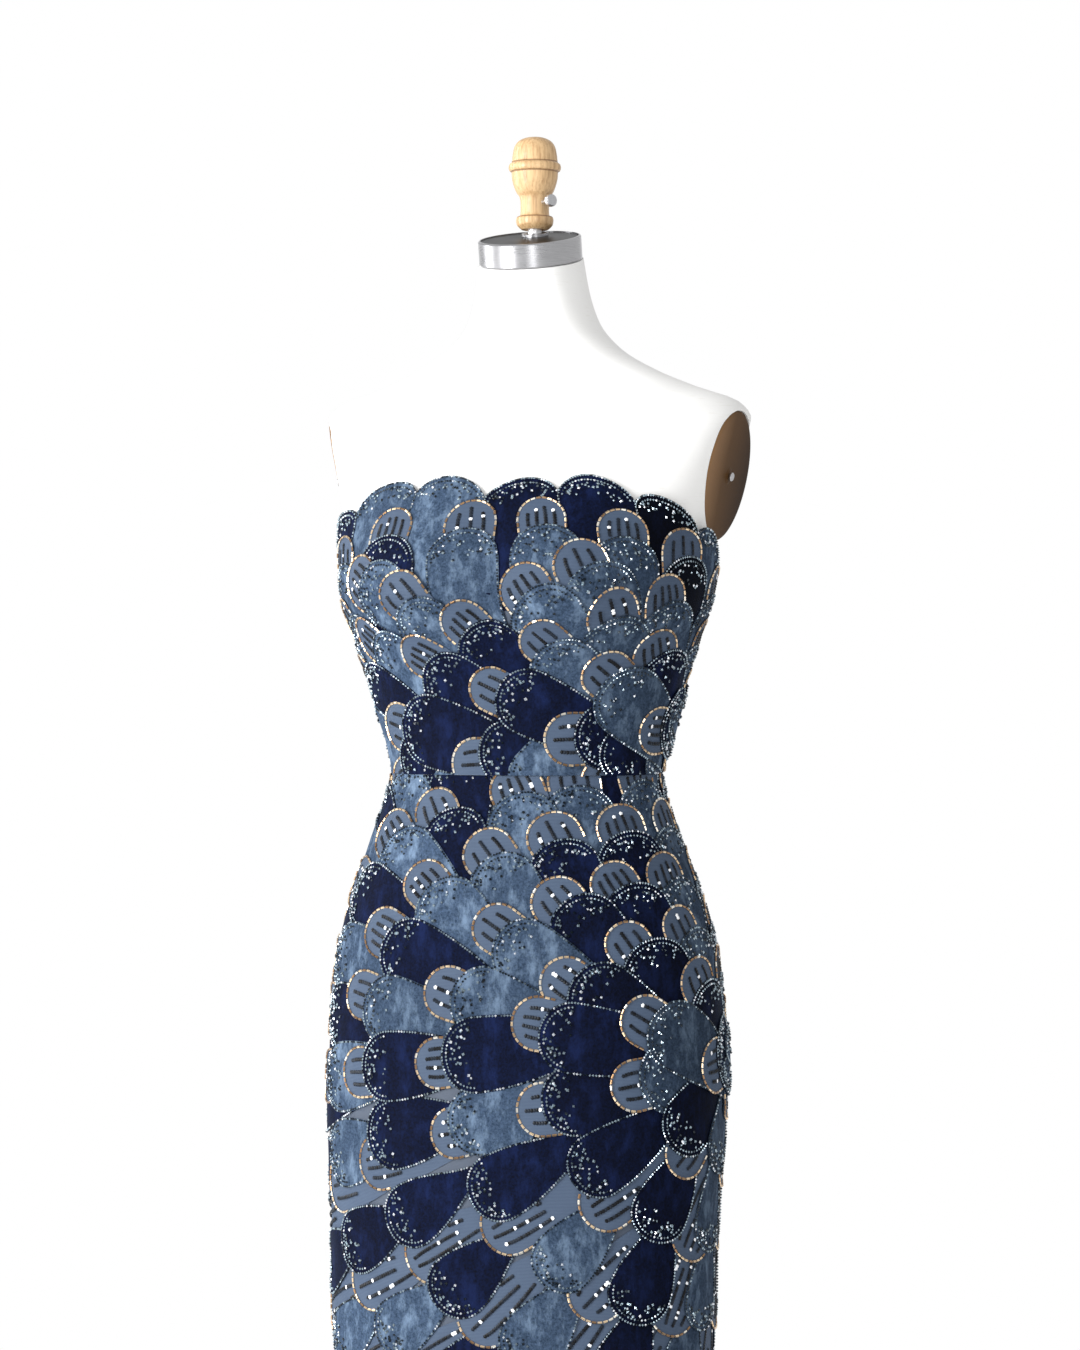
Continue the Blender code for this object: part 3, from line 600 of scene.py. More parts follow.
# Fine net: a dark ground crossed by two sets of slanting threads.
ground = Finish("ground_net")
place = ground.place()
NET_THREADS = 900.0
dark_ground, pale_thread = (0.026, 0.039, 0.067), (0.052, 0.074, 0.114)
bands = []
for turn in (radians(45), radians(-45)):
    slanting = ground.stretched(place, (NET_THREADS,) * 3, (turn, turn, 0))
    bands.append(ground.node("ShaderNodeTexWave", {}, {"Vector": slanting, "Scale": 0.5}))
threads = bands[0].maths("MAXIMUM", *bands)
ground_tone = ground.mix(threads, dark_ground, pale_thread)
ground.shader(
    base_color=ground.mix(ground.noise(place, 40.0) * 0.5, ground_tone, dark_ground),
    roughness=0.6,
    sheen_weight=0.25,
    normal=ground.bump(threads, 0.1 * MM, 0.4),
)
panels = {}
for name, panel in PANELS.items():
    panels[name] = linked(f"{name}_net", panel_mesh(name, panel), ground.made)
    stands_for(panels[name], name)

# The petals: scallops of crushed velvet, navy or steel blue, lapped like feathers from a fan at
# the wearer's left side and sewn on with their tips free. Each petal is drawn flat, in metres,
# and laid on the panels by lengths measured along the cloth.
ROUND = np.linspace(-1.35 * pi, 1.65 * pi, 1501)
RISE = np.arange(HEM - 60 * MM, 330 * MM, 4 * MM)
SHARES = np.linspace(0, 1, 1501)
cloth_points = body_points(ROUND[None, :], RISE[:, None])
round_steps = np.linalg.norm(np.diff(cloth_points, axis=1), axis=2)
across_table = np.concatenate([np.zeros((len(RISE), 1)), np.cumsum(round_steps, axis=1)], axis=1)
across_table -= across_table[:, [np.argmin(abs(ROUND))]]
low_across, full_across = across_table[:, 0], np.ptp(across_table, axis=1)
angle_table = np.array([np.interp(row[0] + SHARES * np.ptp(row), row, ROUND) for row in across_table])
rise_steps = np.linalg.norm(np.diff(cloth_points, axis=0), axis=2).mean(axis=1)
up_table = np.concatenate([[0], np.cumsum(rise_steps)])
up_table -= np.interp(0, RISE, up_table)


def wrapped(angle, about=0.0):
    """The same angle, at most half a turn from another."""
    return about + (angle - about + pi) % (2 * pi) - pi


def read_table(table, column, row):
    """Reads a table between its entries."""
    column = np.clip(column, 0, table.shape[1] - 1.001)
    row = np.clip(row, 0, table.shape[0] - 1.001)
    c, r = column.astype(int), row.astype(int)
    u, v = column - c, row - r
    lower = table[r, c] * (1 - u) + table[r, c + 1] * u
    upper = table[r + 1, c] * (1 - u) + table[r + 1, c + 1] * u
    return lower * (1 - v) + upper * v


def across_of(angle, height):
    """The length of cloth from the centre front round to an angle."""
    angle, height = np.broadcast_arrays(np.asarray(angle, float), np.asarray(height, float))
    column = (angle - ROUND[0]) / (ROUND[1] - ROUND[0])
    return read_table(across_table, column, (height - RISE[0]) / (RISE[1] - RISE[0]))


def angle_of(across, height):
    """The angle at a length of cloth from the centre front."""
    share = (across - np.interp(height, RISE, low_across)) / np.interp(height, RISE, full_across)
    column = share * (len(SHARES) - 1)
    return read_table(angle_table, column, (height - RISE[0]) / (RISE[1] - RISE[0]))


def up_of(height):
    """The length of cloth from the waist seam up to a height."""
    return np.interp(height, RISE, up_table)


def height_of(up):
    return np.interp(up, up_table, RISE)


SLOPE = 0.02  # how much a petal rises for each metre from its base to its tip
TIP_LIFT = 2.3 * MM  # how high the tip lies over the net
LOWEST = 0.9 * MM  # how close the base comes to the net
DOME = 0.12 * MM
VELVET = 0.35 * MM
# From the face of one petal to the face of the next that lies on it: less where they stack up.
LAP, PRESSED = (0.6 * MM, 0.35 * MM), (2.5 * MM, 6 * MM)
REST_ROWS, REST_COLUMNS = 12, 9  # where a petal is tried against those that it lies on
REST_MARGIN = 4 * MM  # how near the edge of another it still counts as lying on it


class Petal:
    """One petal, drawn flat: along runs from its base to its tip, aside across it."""

    def __init__(self, angle, height, aim, half, tip, length, base=0.5, slender=1.0, bend=0.0, **marks):
        self.angle, self.height, self.aim = angle, height, aim
        self.lift = marks.get("lift", TIP_LIFT)
        self.half, self.tip, self.length = half, tip, length
        self.base, self.slender, self.bend = base, slender, bend
        self.marks = marks
        self.raised = np.zeros((REST_ROWS, REST_COLUMNS))

    def half_width(self, along):
        """The petal's half width at a place along it."""
        shoulder = self.length - self.tip
        taper = np.sin(pi / 2 * np.clip(along / shoulder, 0, 1)) ** self.slender
        straight = self.base + (1 - self.base) * taper
        rounded = np.sqrt(np.clip(1 - (np.clip(along - shoulder, 0, None) / self.tip) ** 2, 0, 1))
        return self.half * straight * rounded

    def lying(self, aside, along):
        """How high the petal's face lies over the net."""
        high = self.lift - SLOPE * (self.length - along) + DOME * (1 - (aside / self.half) ** 2)
        column = (aside / self.rest_half(along) + 1) / 2 * (REST_COLUMNS - 1)
        row = along / self.length * (REST_ROWS - 1)
        return np.maximum(high, LOWEST) + read_table(self.raised, column, row)

    def rest_half(self, along):
        """The half width of the grid that the petal is tried on, which its tip lies inside."""
        return np.maximum(self.half_width(along), 0.5 * self.half * (along > self.length / 2))

    def rest_on(self, others):
        """Raises the petal wherever it would lie in the petals under it."""
        along = np.linspace(0, self.length, REST_ROWS)[:, None]
        aside = np.linspace(-1, 1, REST_COLUMNS) * self.rest_half(along)
        along = np.broadcast_to(along, aside.shape)
        angle, height = self.spot(aside, along)
        own = self.lying(aside, along)
        need = np.zeros(own.shape)
        for other in others:
            there_aside, there_along = other.local(angle, height)
            inside = (there_along > -REST_MARGIN / 2) & (there_along < other.length + REST_MARGIN / 2)
            inside &= abs(there_aside) < other.half_width(there_along) + REST_MARGIN
            if inside.any():
                face = other.lying(there_aside, there_along)
                lap = np.interp(face, PRESSED, LAP)
                need = np.maximum(need, np.where(inside, face + lap - own, 0))
        padded = np.pad(need, 1, "edge")
        steps = [(r, c) for r in range(3) for c in range(3)]
        self.raised = np.max([padded[r : r + REST_ROWS, c : c + REST_COLUMNS] for r, c in steps], axis=0)

    def spot(self, aside, along):
        """The angle and height on the body of a place on the petal."""
        back = along - self.length
        aside = aside + self.bend * (back / self.length) ** 2
        right = np.cos(self.aim) * back + np.sin(self.aim) * aside
        up = np.sin(self.aim) * back - np.cos(self.aim) * aside
        height = height_of(up_of(self.height) + up)
        return angle_of(across_of(self.angle, height) + right, height), height

    def local(self, angle, height):
        """The place on the petal of an angle and height on the body."""
        angle = wrapped(angle, self.angle)
        up = up_of(height) - up_of(self.height)
        right = across_of(angle, height) - across_of(self.angle, height)
        back = np.cos(self.aim) * right + np.sin(self.aim) * up
        aside = np.sin(self.aim) * right - np.cos(self.aim) * up
        return aside - self.bend * (back / self.length) ** 2, back + self.length

    def outline(self, inset, step, low=0.0):
        """Places at even steps round the petal's edge, moved in."""
        half, tip, length = (size - inset for size in (self.half, self.tip, self.length))
        smaller = Petal(0, 0, 0, half, tip, length, self.base, self.slender)
        shoulder = smaller.length - smaller.tip
        side = np.linspace(low, shoulder, 24, endpoint=False)
        turn = np.linspace(0, pi / 2, 24)
        along = np.concatenate([side, shoulder + smaller.tip * np.sin(turn)])
        aside = np.concatenate([smaller.half_width(side), smaller.half * np.cos(turn)])
        aside = np.concatenate([-aside, aside[-2::-1]])
        along = np.concatenate([along, along[-2::-1]])
        gaps = np.concatenate([[0], np.cumsum(np.hypot(np.diff(aside), np.diff(along)))])
        places = (np.arange(int(gaps[-1] / step)) + 0.5) * step
        return np.interp(places, gaps, aside), np.interp(places, gaps, along)


class TopPetal(Petal):
    """A petal of the top row, whose tip is one of the bodice's scallops."""

    def __init__(self, place, length, **marks):
        half = 0.5 / SCALLOP_FULLNESS**0.5
        tip = SCALLOP_DROP / (1 - (1 - SCALLOP_FULLNESS) ** 0.5)
        self.place = place
        self.wide = across_of(angle_of_scallop(4), 200 * MM) - across_of(angle_of_scallop(3), 200 * MM)
        angle = float(angle_of_scallop(place))
        super().__init__(
            angle, float(edge_height_at(abs(angle))), pi / 2, half * self.wide, tip, length, **marks
        )

    def spot(self, aside, along):
        angle = angle_of_scallop(self.place + aside / self.wide)
        return angle, edge_height_at(abs(angle)) + along - self.length

    def local(self, angle, height):
        angle = wrapped(angle)
        apart = np.interp(angle, edge_angles, edge_places) - self.place
        apart = (apart + SCALLOPS / 2) % SCALLOPS - SCALLOPS / 2
        return apart * self.wide, height - edge_height_at(abs(angle)) + self.length


Fan = namedtuple("Fan", "angle height stretch sag square first radial")
# Petals stand on rounded squares about the fan's middle, stretched sideways and, on the skirt,
# downwards too, where they turn into long teardrops.
BODICE_FAN = Fan(radians(96), 50 * MM, 1.8, 1.0, 2.4, 24 * MM, 0.3)
SKIRT_FAN = Fan(radians(99), -248 * MM, 1.9, 1.5, 2.3, 26 * MM, 0.5)
PETAL_HALF, PETAL_TIP = 33 * MM, 30 * MM
DEEP_FROM, DEEP_BY = 20 * MM, 130 * MM  # below the skirt fan's middle
ROW_STEP = 45 * MM
SPREAD, DEEP_SPREAD = 60 * MM, 84 * MM  # from petal to petal along a row
BASE, DEEP_BASE = 0.5, 0.16
DEEP_SLENDER = 1.9
OVERLAP = 48 * MM  # how far a petal reaches under the next row
SHORTEST, NEAR_MIDDLE = 40 * MM, 140 * MM  # petals are smaller and flatter near the fan's middle
MIDDLE_CLEAR, MIDDLE_BASE, MIDDLE_LIFT = 4 * MM, 0.5, 0.4
BEND = 6 * MM
STAGGER = 0.3
PAST_SEAM = 45 * MM  # petals whose tips fall this far past a seam are cut by it
WIDE_TO, FURTHER_STRETCH = 200 * MM, 1.35
ROUND_SIDE = radians(12)  # the two ends of a ring meet this near the wearer's right side seam
FAN_ROWS = 24
PLACE_JITTER, AIM_JITTER, SIZE_RANGE, DEEP_SMALLER = 0.05, 0.04, (0.93, 1.04), 0.12
SAME_AS_LAST = 0.2  # the share of petals that break the turns of navy and steel
SECOND_DROP, CLEAR_OF_TOP = 46 * MM, 76 * MM  # below the top edge
TOP_LENGTH, TOP_BASE = ROW_STEP + OVERLAP + 20 * MM, 0.8  # of the petals of the two top rows
# One letter a petal, from the wearer's right side seam round to it again. The near black ones, d,
# lie on the wearer's left, away from the light: navy darkened as painted shade.
TOP_TONES, SECOND_TONES = "nssnndsdsnnsns", "snsssdsnnsnsns"
draws = np.random.default_rng(7)


def tone_marks(letter):
    """The marks of a petal by its letter: n navy, s steel blue, d navy darkened to near black as painted
    shade.
    """
    tone = 0.0 if letter == "d" else draws.uniform(0.45, 1.0)
    return {"navy": letter != "s", "tone": tone}


def between(near, deep, share):
    """A size part of the way from what it is near the top to what it is deep in the skirt."""
    return near + (deep - near) * share


def ring(fan, reach):
    """The angles and heights of points along one ring of a fan."""
    turn = np.linspace(-pi, pi, 721)
    cosine, sine = np.cos(turn), np.sin(turn)
    power = 2 / fan.square
    wide = fan.stretch * min(reach, WIDE_TO) + FURTHER_STRETCH * max(reach - WIDE_TO, 0)
    right = wide * np.sign(cosine) * abs(cosine) ** power
    up = reach * np.sign(sine) * abs(sine) ** power * np.where(sine < 0, fan.sag, 1)
    height = height_of(up_of(fan.height) + up)
    return angle_of(across_of(fan.angle, height) + right, height), height


def apart(angle, height, next_angle, next_height):
    """How far right and up along the cloth one place lies from another."""
    right = across_of(next_angle, next_height) - across_of(angle, next_height)
    return np.array([right, up_of(next_height) - up_of(height)])


def fan_petals(fan, lowest, highest):
    """The petals of one fan, from its middle outwards."""
    found = []
    for row in range(FAN_ROWS):
        reach = fan.first + row * ROW_STEP
        angles, heights = ring(fan, reach)
        beyond = apart(angles, heights, *ring(fan, reach + ROW_STEP))
        tangent = apart(angles[:-1], heights[:-1], angles[1:], heights[1:])
        tangent = np.concatenate([tangent, tangent[:, :1]], axis=1)
        deep = (up_of(fan.height) - up_of(heights) - DEEP_FROM) / DEEP_BY
        deep = np.clip(deep, 0, 1) * (fan.sag > 1)
        spread = between(SPREAD, DEEP_SPREAD, deep)[1:]
        places = np.concatenate([[0], np.cumsum(np.hypot(*tangent[:, :-1]) / spread)])
        count = max(4, round(places[-1]))
        for number in range(count):
            place = (number + STAGGER * row + draws.normal(0, PLACE_JITTER)) / count % 1 * places[-1]
            values = (angles, heights, deep, *beyond, *tangent)
            angle, height, here, *ways = (float(np.interp(place, places, value)) for value in values)
            outwards, along_ring = Vector(ways[:2]), Vector(ways[2:])
            square_on = Vector((along_ring.y, -along_ring.x)).normalized()
            axis = square_on * (1 - fan.radial) + outwards.normalized() * fan.radial
            aim = np.arctan2(axis.y, axis.x) + draws.normal(0, AIM_JITTER)
            step = outwards.dot(axis.normalized())
            to_middle = np.hypot(*apart(fan.angle, fan.height, angle, height))
            near_middle = min(to_middle / NEAR_MIDDLE, 1)
            size = draws.uniform(*SIZE_RANGE) * (1 - DEEP_SMALLER * here)
            lean, tone, luck = draws.uniform(-1, 1), draws.uniform(0.4, 1), draws.uniform()
            if not lowest - PAST_SEAM < height < highest + PAST_SEAM:
                continue
            if not -pi / 2 - ROUND_SIDE < angle < 1.5 * pi + ROUND_SIDE / 4:
                continue
            if highest > 0 and height > edge_height_at(abs(wrapped(angle))) - CLEAR_OF_TOP:
                continue
            petal = Petal(
                angle,
                height,
                aim,
                PETAL_HALF * size,
                PETAL_TIP * size,
                max(min(step + OVERLAP, to_middle - MIDDLE_CLEAR), SHORTEST),
                between(BASE, DEEP_BASE, here) * between(MIDDLE_BASE, 1, near_middle),
                between(1, DEEP_SLENDER, here),
                lean * BEND,
                navy=(row + number + (luck < SAME_AS_LAST)) % 2 == 0,
                tone=tone,
                lift=TIP_LIFT * between(MIDDLE_LIFT, 1, near_middle),
                deep=here,
                row=-row,
            )
            found.append(petal)
    return found


top_rows = []
for number in range(SCALLOPS):
    place = FIRST_NOTCH + number + 0.5
    if place > FRONT_SCALLOPS + BACK_SCALLOPS:
        place -= SCALLOPS
    marks = tone_marks(TOP_TONES[number])
    top_rows.append(TopPetal(place, TOP_LENGTH, base=TOP_BASE, deep=0, row=-100, **marks))
    angle = float(angle_of_scallop(place + STAGGER))
    height = float(edge_height_at(min(abs(angle), pi))) - SECOND_DROP * draws.uniform(0.8, 1.15)
    sizes = (PETAL_HALF, PETAL_TIP, TOP_LENGTH, TOP_BASE)
    aim = pi / 2 + draws.normal(0.08, 0.07)
    marks = tone_marks(SECOND_TONES[number])
    top_rows.append(Petal(angle, height, aim, *sizes, deep=0, row=-99, **marks))
velvets = {
    "bodice": fan_petals(BODICE_FAN, 0, 260 * MM) + top_rows,
    "skirt": fan_petals(SKIRT_FAN, HEM, 0),
}


Cut = namedtuple("Cut", "axis at side")  # what lies on the wrong side of a cut goes


def cuts_of(panel):
    """The straight edges that a panel's petals are cut to."""
    if panel.startswith("bodice"):
        cuts = [Cut(2, WAIST_HEIGHT + GAP / 2, 1)]
    else:
        cuts = [Cut(2, WAIST_HEIGHT - GAP / 2, -1), Cut(2, WAIST_HEIGHT + HEM, 1)]
    if "back" in panel:
        side = 1 if panel.endswith("left") else -1
        cuts.append(Cut(0, side * (ZIP_WIDTH / 2 + GAP), side))
    return cuts


def panels_of(part, petal):
    """The panels that a petal is sewn to: a petal that crosses the zip is cut in two by it."""
    tip = wrapped(petal.angle)
    base = wrapped(float(petal.spot(0.0, 0.0)[0]))
    if abs(tip) < pi / 2:
        return [f"{part}_front"]
    angles = [tip, base] if abs(base) > pi / 2 else [tip]
    return sorted({f"{part}_back_left" if angle > 0 else f"{part}_back_right" for angle in angles})


CORNER = radians(40)  # where the round tip passes from the petal's sides to its end


def petal_grid(petal, columns, side_rows, tip_rows):
    """Places all over a petal up to its round end: aside and along, rows by columns."""
    shoulder = petal.length - petal.tip
    side = np.linspace(0, shoulder, side_rows + 1)
    turn = np.linspace(0, CORNER, tip_rows + 1)[1:]
    edge_along = np.concatenate([side, shoulder + petal.tip * np.sin(turn)])
    edge_half = np.concatenate([petal.half_width(side), petal.half * np.cos(turn)])
    sweep = np.linspace(pi - CORNER, CORNER, columns + 1)
    flat = np.linspace(-1, 1, columns + 1)
    share = np.linspace(0, 1, len(edge_along))[:, None]
    end_along = shoulder + petal.tip * np.sin(sweep)
    aside = edge_half[:, None] * (flat * (1 - share) + np.cos(sweep) / cos(CORNER) * share)
    along = edge_along[:, None] * (1 + share * (end_along / edge_along[-1] - 1))
    return aside, along


def cut_shell(points, faces, laid, cuts):
    """Cuts a small closed shell along straight edges and closes it there."""
    bm = bmesh.new()
    layer = bm.verts.layers.float_vector.new("laid")
    verts = [bm.verts.new(point) for point in points]
    for vert, place in zip(verts, laid):
        vert[layer] = place
    for face in faces:
        bm.faces.new([verts[i] for i in face])
    for cut in cuts:
        at, way = Vector(), Vector()
        at[cut.axis], way[cut.axis] = cut.at, -cut.side
        whole = [*bm.verts, *bm.edges, *bm.faces]
        bmesh.ops.bisect_plane(bm, geom=whole, plane_co=at, plane_no=way, clear_outer=True)
        open_edges = [edge for edge in bm.edges if edge.is_boundary]
        if open_edges:
            bmesh.ops.holes_fill(bm, edges=open_edges, sides=0)
    bm.verts.index_update()
    points = [vert.co[:] for vert in bm.verts]
    faces = [[vert.index for vert in face.verts] for face in bm.faces]
    laid = [vert[layer][:] for vert in bm.verts]
    bm.free()
    return points, faces, laid


def sewn_petals(name, petals, thick, grid, material, cuts):
    """Joins petals in one mesh, each a closed shell, cut where a seam crosses it."""
    all_points, all_faces, all_laid = [], [], []
    marks = {key: [] for key in ("navy", "tone")}
    for petal in petals:
        aside, along = petal_grid(petal, *grid)
        rows, columns = aside.shape[0] - 1, aside.shape[1] - 1
        angle, height = petal.spot(aside, along)
        lying = EASE + NET_WALL + petal.lying(aside, along)
        sides = [surface(angle, height, lying), surface(angle, height, lying - thick)]
        points = np.concatenate([side.reshape(-1, 3) for side in sides])
        faces = shell_faces(columns, rows)
        laid = np.tile(np.stack([aside, along, 0 * along], -1).reshape(-1, 3), (2, 1))
        crossed = [c for c in cuts if (points[:, c.axis] * c.side).min() < c.at * c.side]
        if crossed:
            points, faces, laid = cut_shell(points, faces, laid, crossed)
        base = len(all_points)
        all_points.extend(points)
        all_laid.extend(laid)
        all_faces.extend([[base + i for i in face] for face in faces])
        for key, values in marks.items():
            values += [float(petal.marks[key])] * len(faces)
    mesh = bpy.data.meshes.new(name)
    mesh.from_pydata(np.array(all_points).tolist(), [], all_faces)
    mesh.shade_smooth()
    mesh.set_sharp_from_angle(angle=radians(50))
    laid = mesh.attributes.new("laid", "FLOAT_VECTOR", "POINT")
    laid.data.foreach_set("vector", np.array(all_laid, np.float32).ravel())
    for key, values in marks.items():
        mark = mesh.attributes.new(key, "FLOAT", "FACE")
        mark.data.foreach_set("value", np.array(values, np.float32))
    return linked(name, mesh, material)


velvet = Finish("crushed_velvet")
place = velvet.place()
navy = velvet.attribute("navy")
tone = velvet.attribute("tone")
pile = velvet.noise(place, 700.0, 4.0, 0.7)
crush = velvet.noise(velvet.stretched(place, (70, 70, 34)), 1.0, 5.0, 0.7)
streak = velvet.ramp(crush, (0.48, 0.0), (0.66, 1.0))
mottle = velvet.ramp(velvet.noise(place, 430.0, 5.0, 0.8), (0.36, 0.0), (0.64, 1.0))
steel_deep, steel_mid, steel_light = (0.018, 0.033, 0.058), (0.063, 0.1, 0.17), (0.21, 0.3, 0.43)
navy_deep, navy_mid, navy_light = (0.0008, 0.0015, 0.006), (0.003, 0.007, 0.031), (0.01, 0.021, 0.09)
steel_tone = velvet.mix(mottle, steel_deep, steel_mid)
steel_tone = velvet.mix(streak * 0.6, steel_tone, steel_light)
navy_tone = velvet.mix(mottle, navy_deep, navy_mid)
navy_tone = velvet.mix(streak * 0.45, navy_tone, navy_light)
velvet_tone = velvet.mix(navy, steel_tone, navy_tone)
shade = velvet.ramp(tone, (0.0, 0.35), (0.4, 0.75), (1.0, 1.0))
# Painted shade: the velvet turns darker towards the wearer's left, the side away from the key light.
painted_shade_left = velvet.ramp((velvet.axis(place, 0) + 0.2) * 2.5, (0.58, 1.0), (0.88, 0.66))
shade = velvet.mix(1.0, shade, painted_shade_left, "MULTIPLY")
velvet.shader(
    base_color=velvet.mix(1.0, velvet_tone, shade, "MULTIPLY"),
    roughness=0.75,
    sheen_weight=0.08,
    sheen_roughness=0.3,
    sheen_tint=(0.4, 0.62, 1.0, 1),
    specular_ior_level=0.06,
    normal=velvet.bump(pile * 0.6 + crush * 0.8, 0.6 * MM, 0.55),
)

VELVET_GRID, NET_GRID = (6, 6, 2), (5, 4, 2)  # columns, rows up the sides and rows of the tip
sewn = {name: [] for name in PANELS}


def sew(panel, made):
    """Rides a piece with the form and counts it among what is sewn to its panel."""
    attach(made, "gown_and_form")
    sewn[panel].append(made)


def sew_petals(word, petals, thick, grid, material):
    """Sews a kind of petals to all six panels."""
    for panel in PANELS:
        part = panel.split("_")[0]
        mine = [petal for petal in petals[part] if panel in panels_of(part, petal)]
        sew(panel, sewn_petals(f"{panel}_{word}", mine, thick, grid, material, cuts_of(panel)))


# Smaller petals of smoky net: each comes out from under the tip of a velvet petal, a little to
# one side on the bodice and hips, and well to one side further down the skirt, where they are
# nearly as large as the velvet ones.
NET_FILM = 0.2 * MM
NetSizes = namedtuple("NetSizes", "half tip length base slender beyond stray")
NEAR_NET = NetSizes(23 * MM, 22 * MM, 80 * MM, 0.5, 1.0, 25 * MM, 9 * MM)
DEEP_NET = NetSizes(26 * MM, 24 * MM, 128 * MM, 0.3, 1.4, -2 * MM, 40 * MM)
nets = {part: [] for part in velvets}
for part, petals in velvets.items():
    for petal in petals:
        if isinstance(petal, TopPetal):
            continue
        deep = petal.marks["deep"]
        size = NetSizes(*(between(near, far, deep) for near, far in zip(NEAR_NET, DEEP_NET)))
        stray = size.stray * between(draws.uniform(-1, 1), draws.uniform(0.9, 1.1), min(1, deep * 2))
        angle, height = petal.spot(np.float64(-stray), np.float64(petal.length + size.beyond))
        scale = draws.uniform(0.94, 1.08)
        nets[part].append(
            Petal(
                float(angle),
                float(height),
                petal.aim,
                size.half * scale,
                size.tip * scale,
                min(size.length, petal.length + size.beyond),
                size.base,
                size.slender,
                **petal.marks,
            )
        )

# Each petal rests on those sewn on before it: the outer rows first, and each row's net petals
# before its velvet ones.
sewing_order = {}
for part in velvets:
    order = [(petal.marks["row"], 1, petal) for petal in velvets[part]]
    order += [(petal.marks["row"], 0, petal) for petal in nets[part]]
    order = [petal for _, _, petal in sorted(order, key=lambda item: item[:2])]
    tips = body_points(*np.array([(petal.angle, petal.height) for petal in order]).T)
    lengths = np.array([petal.length for petal in order])
    for number, petal in enumerate(order):
        near = np.linalg.norm(tips[:number] - tips[number], axis=1) < lengths[:number] + petal.length
        if not isinstance(petal, TopPetal):
            petal.rest_on([order[under] for under in np.flatnonzero(near)])
    sewing_order[part] = order

smoky = Finish("smoky_net")
place = smoky.place()
ripple = {"Vector": place, "Scale": 260.0, "Distortion": 1.2, "Detail": 1.0}
mesh_wave = smoky.node("ShaderNodeTexWave", {"bands_direction": "Z"}, ripple)
film_cloud = smoky.noise(place, 22.0, 3.0)
film_tone = smoky.mix(mesh_wave, (0.052, 0.076, 0.126), (0.09, 0.127, 0.187))
film_tone = smoky.mix(film_cloud * 0.7, film_tone, (0.041, 0.061, 0.103))
smoky.shader(
    base_color=film_tone,
    roughness=0.6,
    specular_ior_level=0.15,
    normal=smoky.bump(mesh_wave, 0.15 * MM, 0.3),
)
sew_petals("velvet", velvets, VELVET, VELVET_GRID, velvet.made)
sew_petals("net_petals", nets, NET_FILM, NET_GRID, smoky.made)

# Beads, all sewn by hand along and on the petals: a double line of steel seed beads round each
# velvet petal, more of them strewn near its tip, champagne bugles round each net petal, and rays
# of dark sequins on it, with a clear one here and there painted white as a glint. The beads'
# bright tones and white glints are painted highlights.
BEAD_STEP, BEAD_INSET = 2.7 * MM, 1.2 * MM
SECOND_STEP, SECOND_INSET = 3.2 * MM, 5.2 * MM
BUGLE_STEP, BUGLE_INSET = 5.0 * MM, 1.0 * MM
SEQUIN_STEP = 2.4 * MM
STREWN, STREWN_OVER = 34, 6 * MM  # loose beads near the tip of a velvet petal, thinning out inwards
CLEAR_PAINTED_GLINT_SHARE = 0.06
RAY_RUN = (22, 62)  # how long a ray is, in millimetres: on the bodice, and deep in the skirt
MANY_RAYS_FROM = 0.75  # the palest petals have four rays, the others three
RAY_SPREAD = 0.72
BEAD_HALF, CUT_CLEAR = 0.4 * MM, 0.8 * MM
THREAD_STEP = 0.4 * MM  # from a bead to the place on its thread that says which way it lies
NAVY_GLINT, STEEL_GLINT = 0.6, 1.3  # powers: beads on navy velvet get more of the painted bright tone and painted glints
KINDS = ("steel_beads", "champagne_bugles", "sequin_rays")
bead_rows = {name: {kind: [] for kind in KINDS} for name in PANELS}


def note_beads(part, petal, kind, aside, along, turn, size=None):
    """Keeps the beads of one petal until it is known which of them other petals cover.

    A row holds a bead's angle, height and lift, the same of the next place on its thread, then
    its size and its painted glint, the share that picks its dark tone, its painted bright tone or
    its painted white glint.
    """
    next_aside, next_along = aside + np.cos(turn) * THREAD_STEP, along + np.sin(turn) * THREAD_STEP
    size = np.ones(len(aside)) if size is None else size
    glint = draws.uniform(size=len(aside))
    if kind == "steel_beads":
        glint = glint ** (NAVY_GLINT if petal.marks["navy"] else STEEL_GLINT)
    here = (*petal.spot(aside, along), petal.lying(aside, along))
    beyond = (*petal.spot(next_aside, next_along), petal.lying(next_aside, next_along))
    rows = np.stack([*here, *beyond, size, glint], 1)
    for panel in panels_of(part, petal):
        bead_rows[panel][kind].append((petal, rows))


def edge_beads(petal, inset, step, low):
    """The places and turns of a row of beads along a petal's edge."""
    aside, along = petal.outline(inset, step, low)
    turn = np.arctan2(np.gradient(along), np.gradient(aside))
    return aside, along, turn


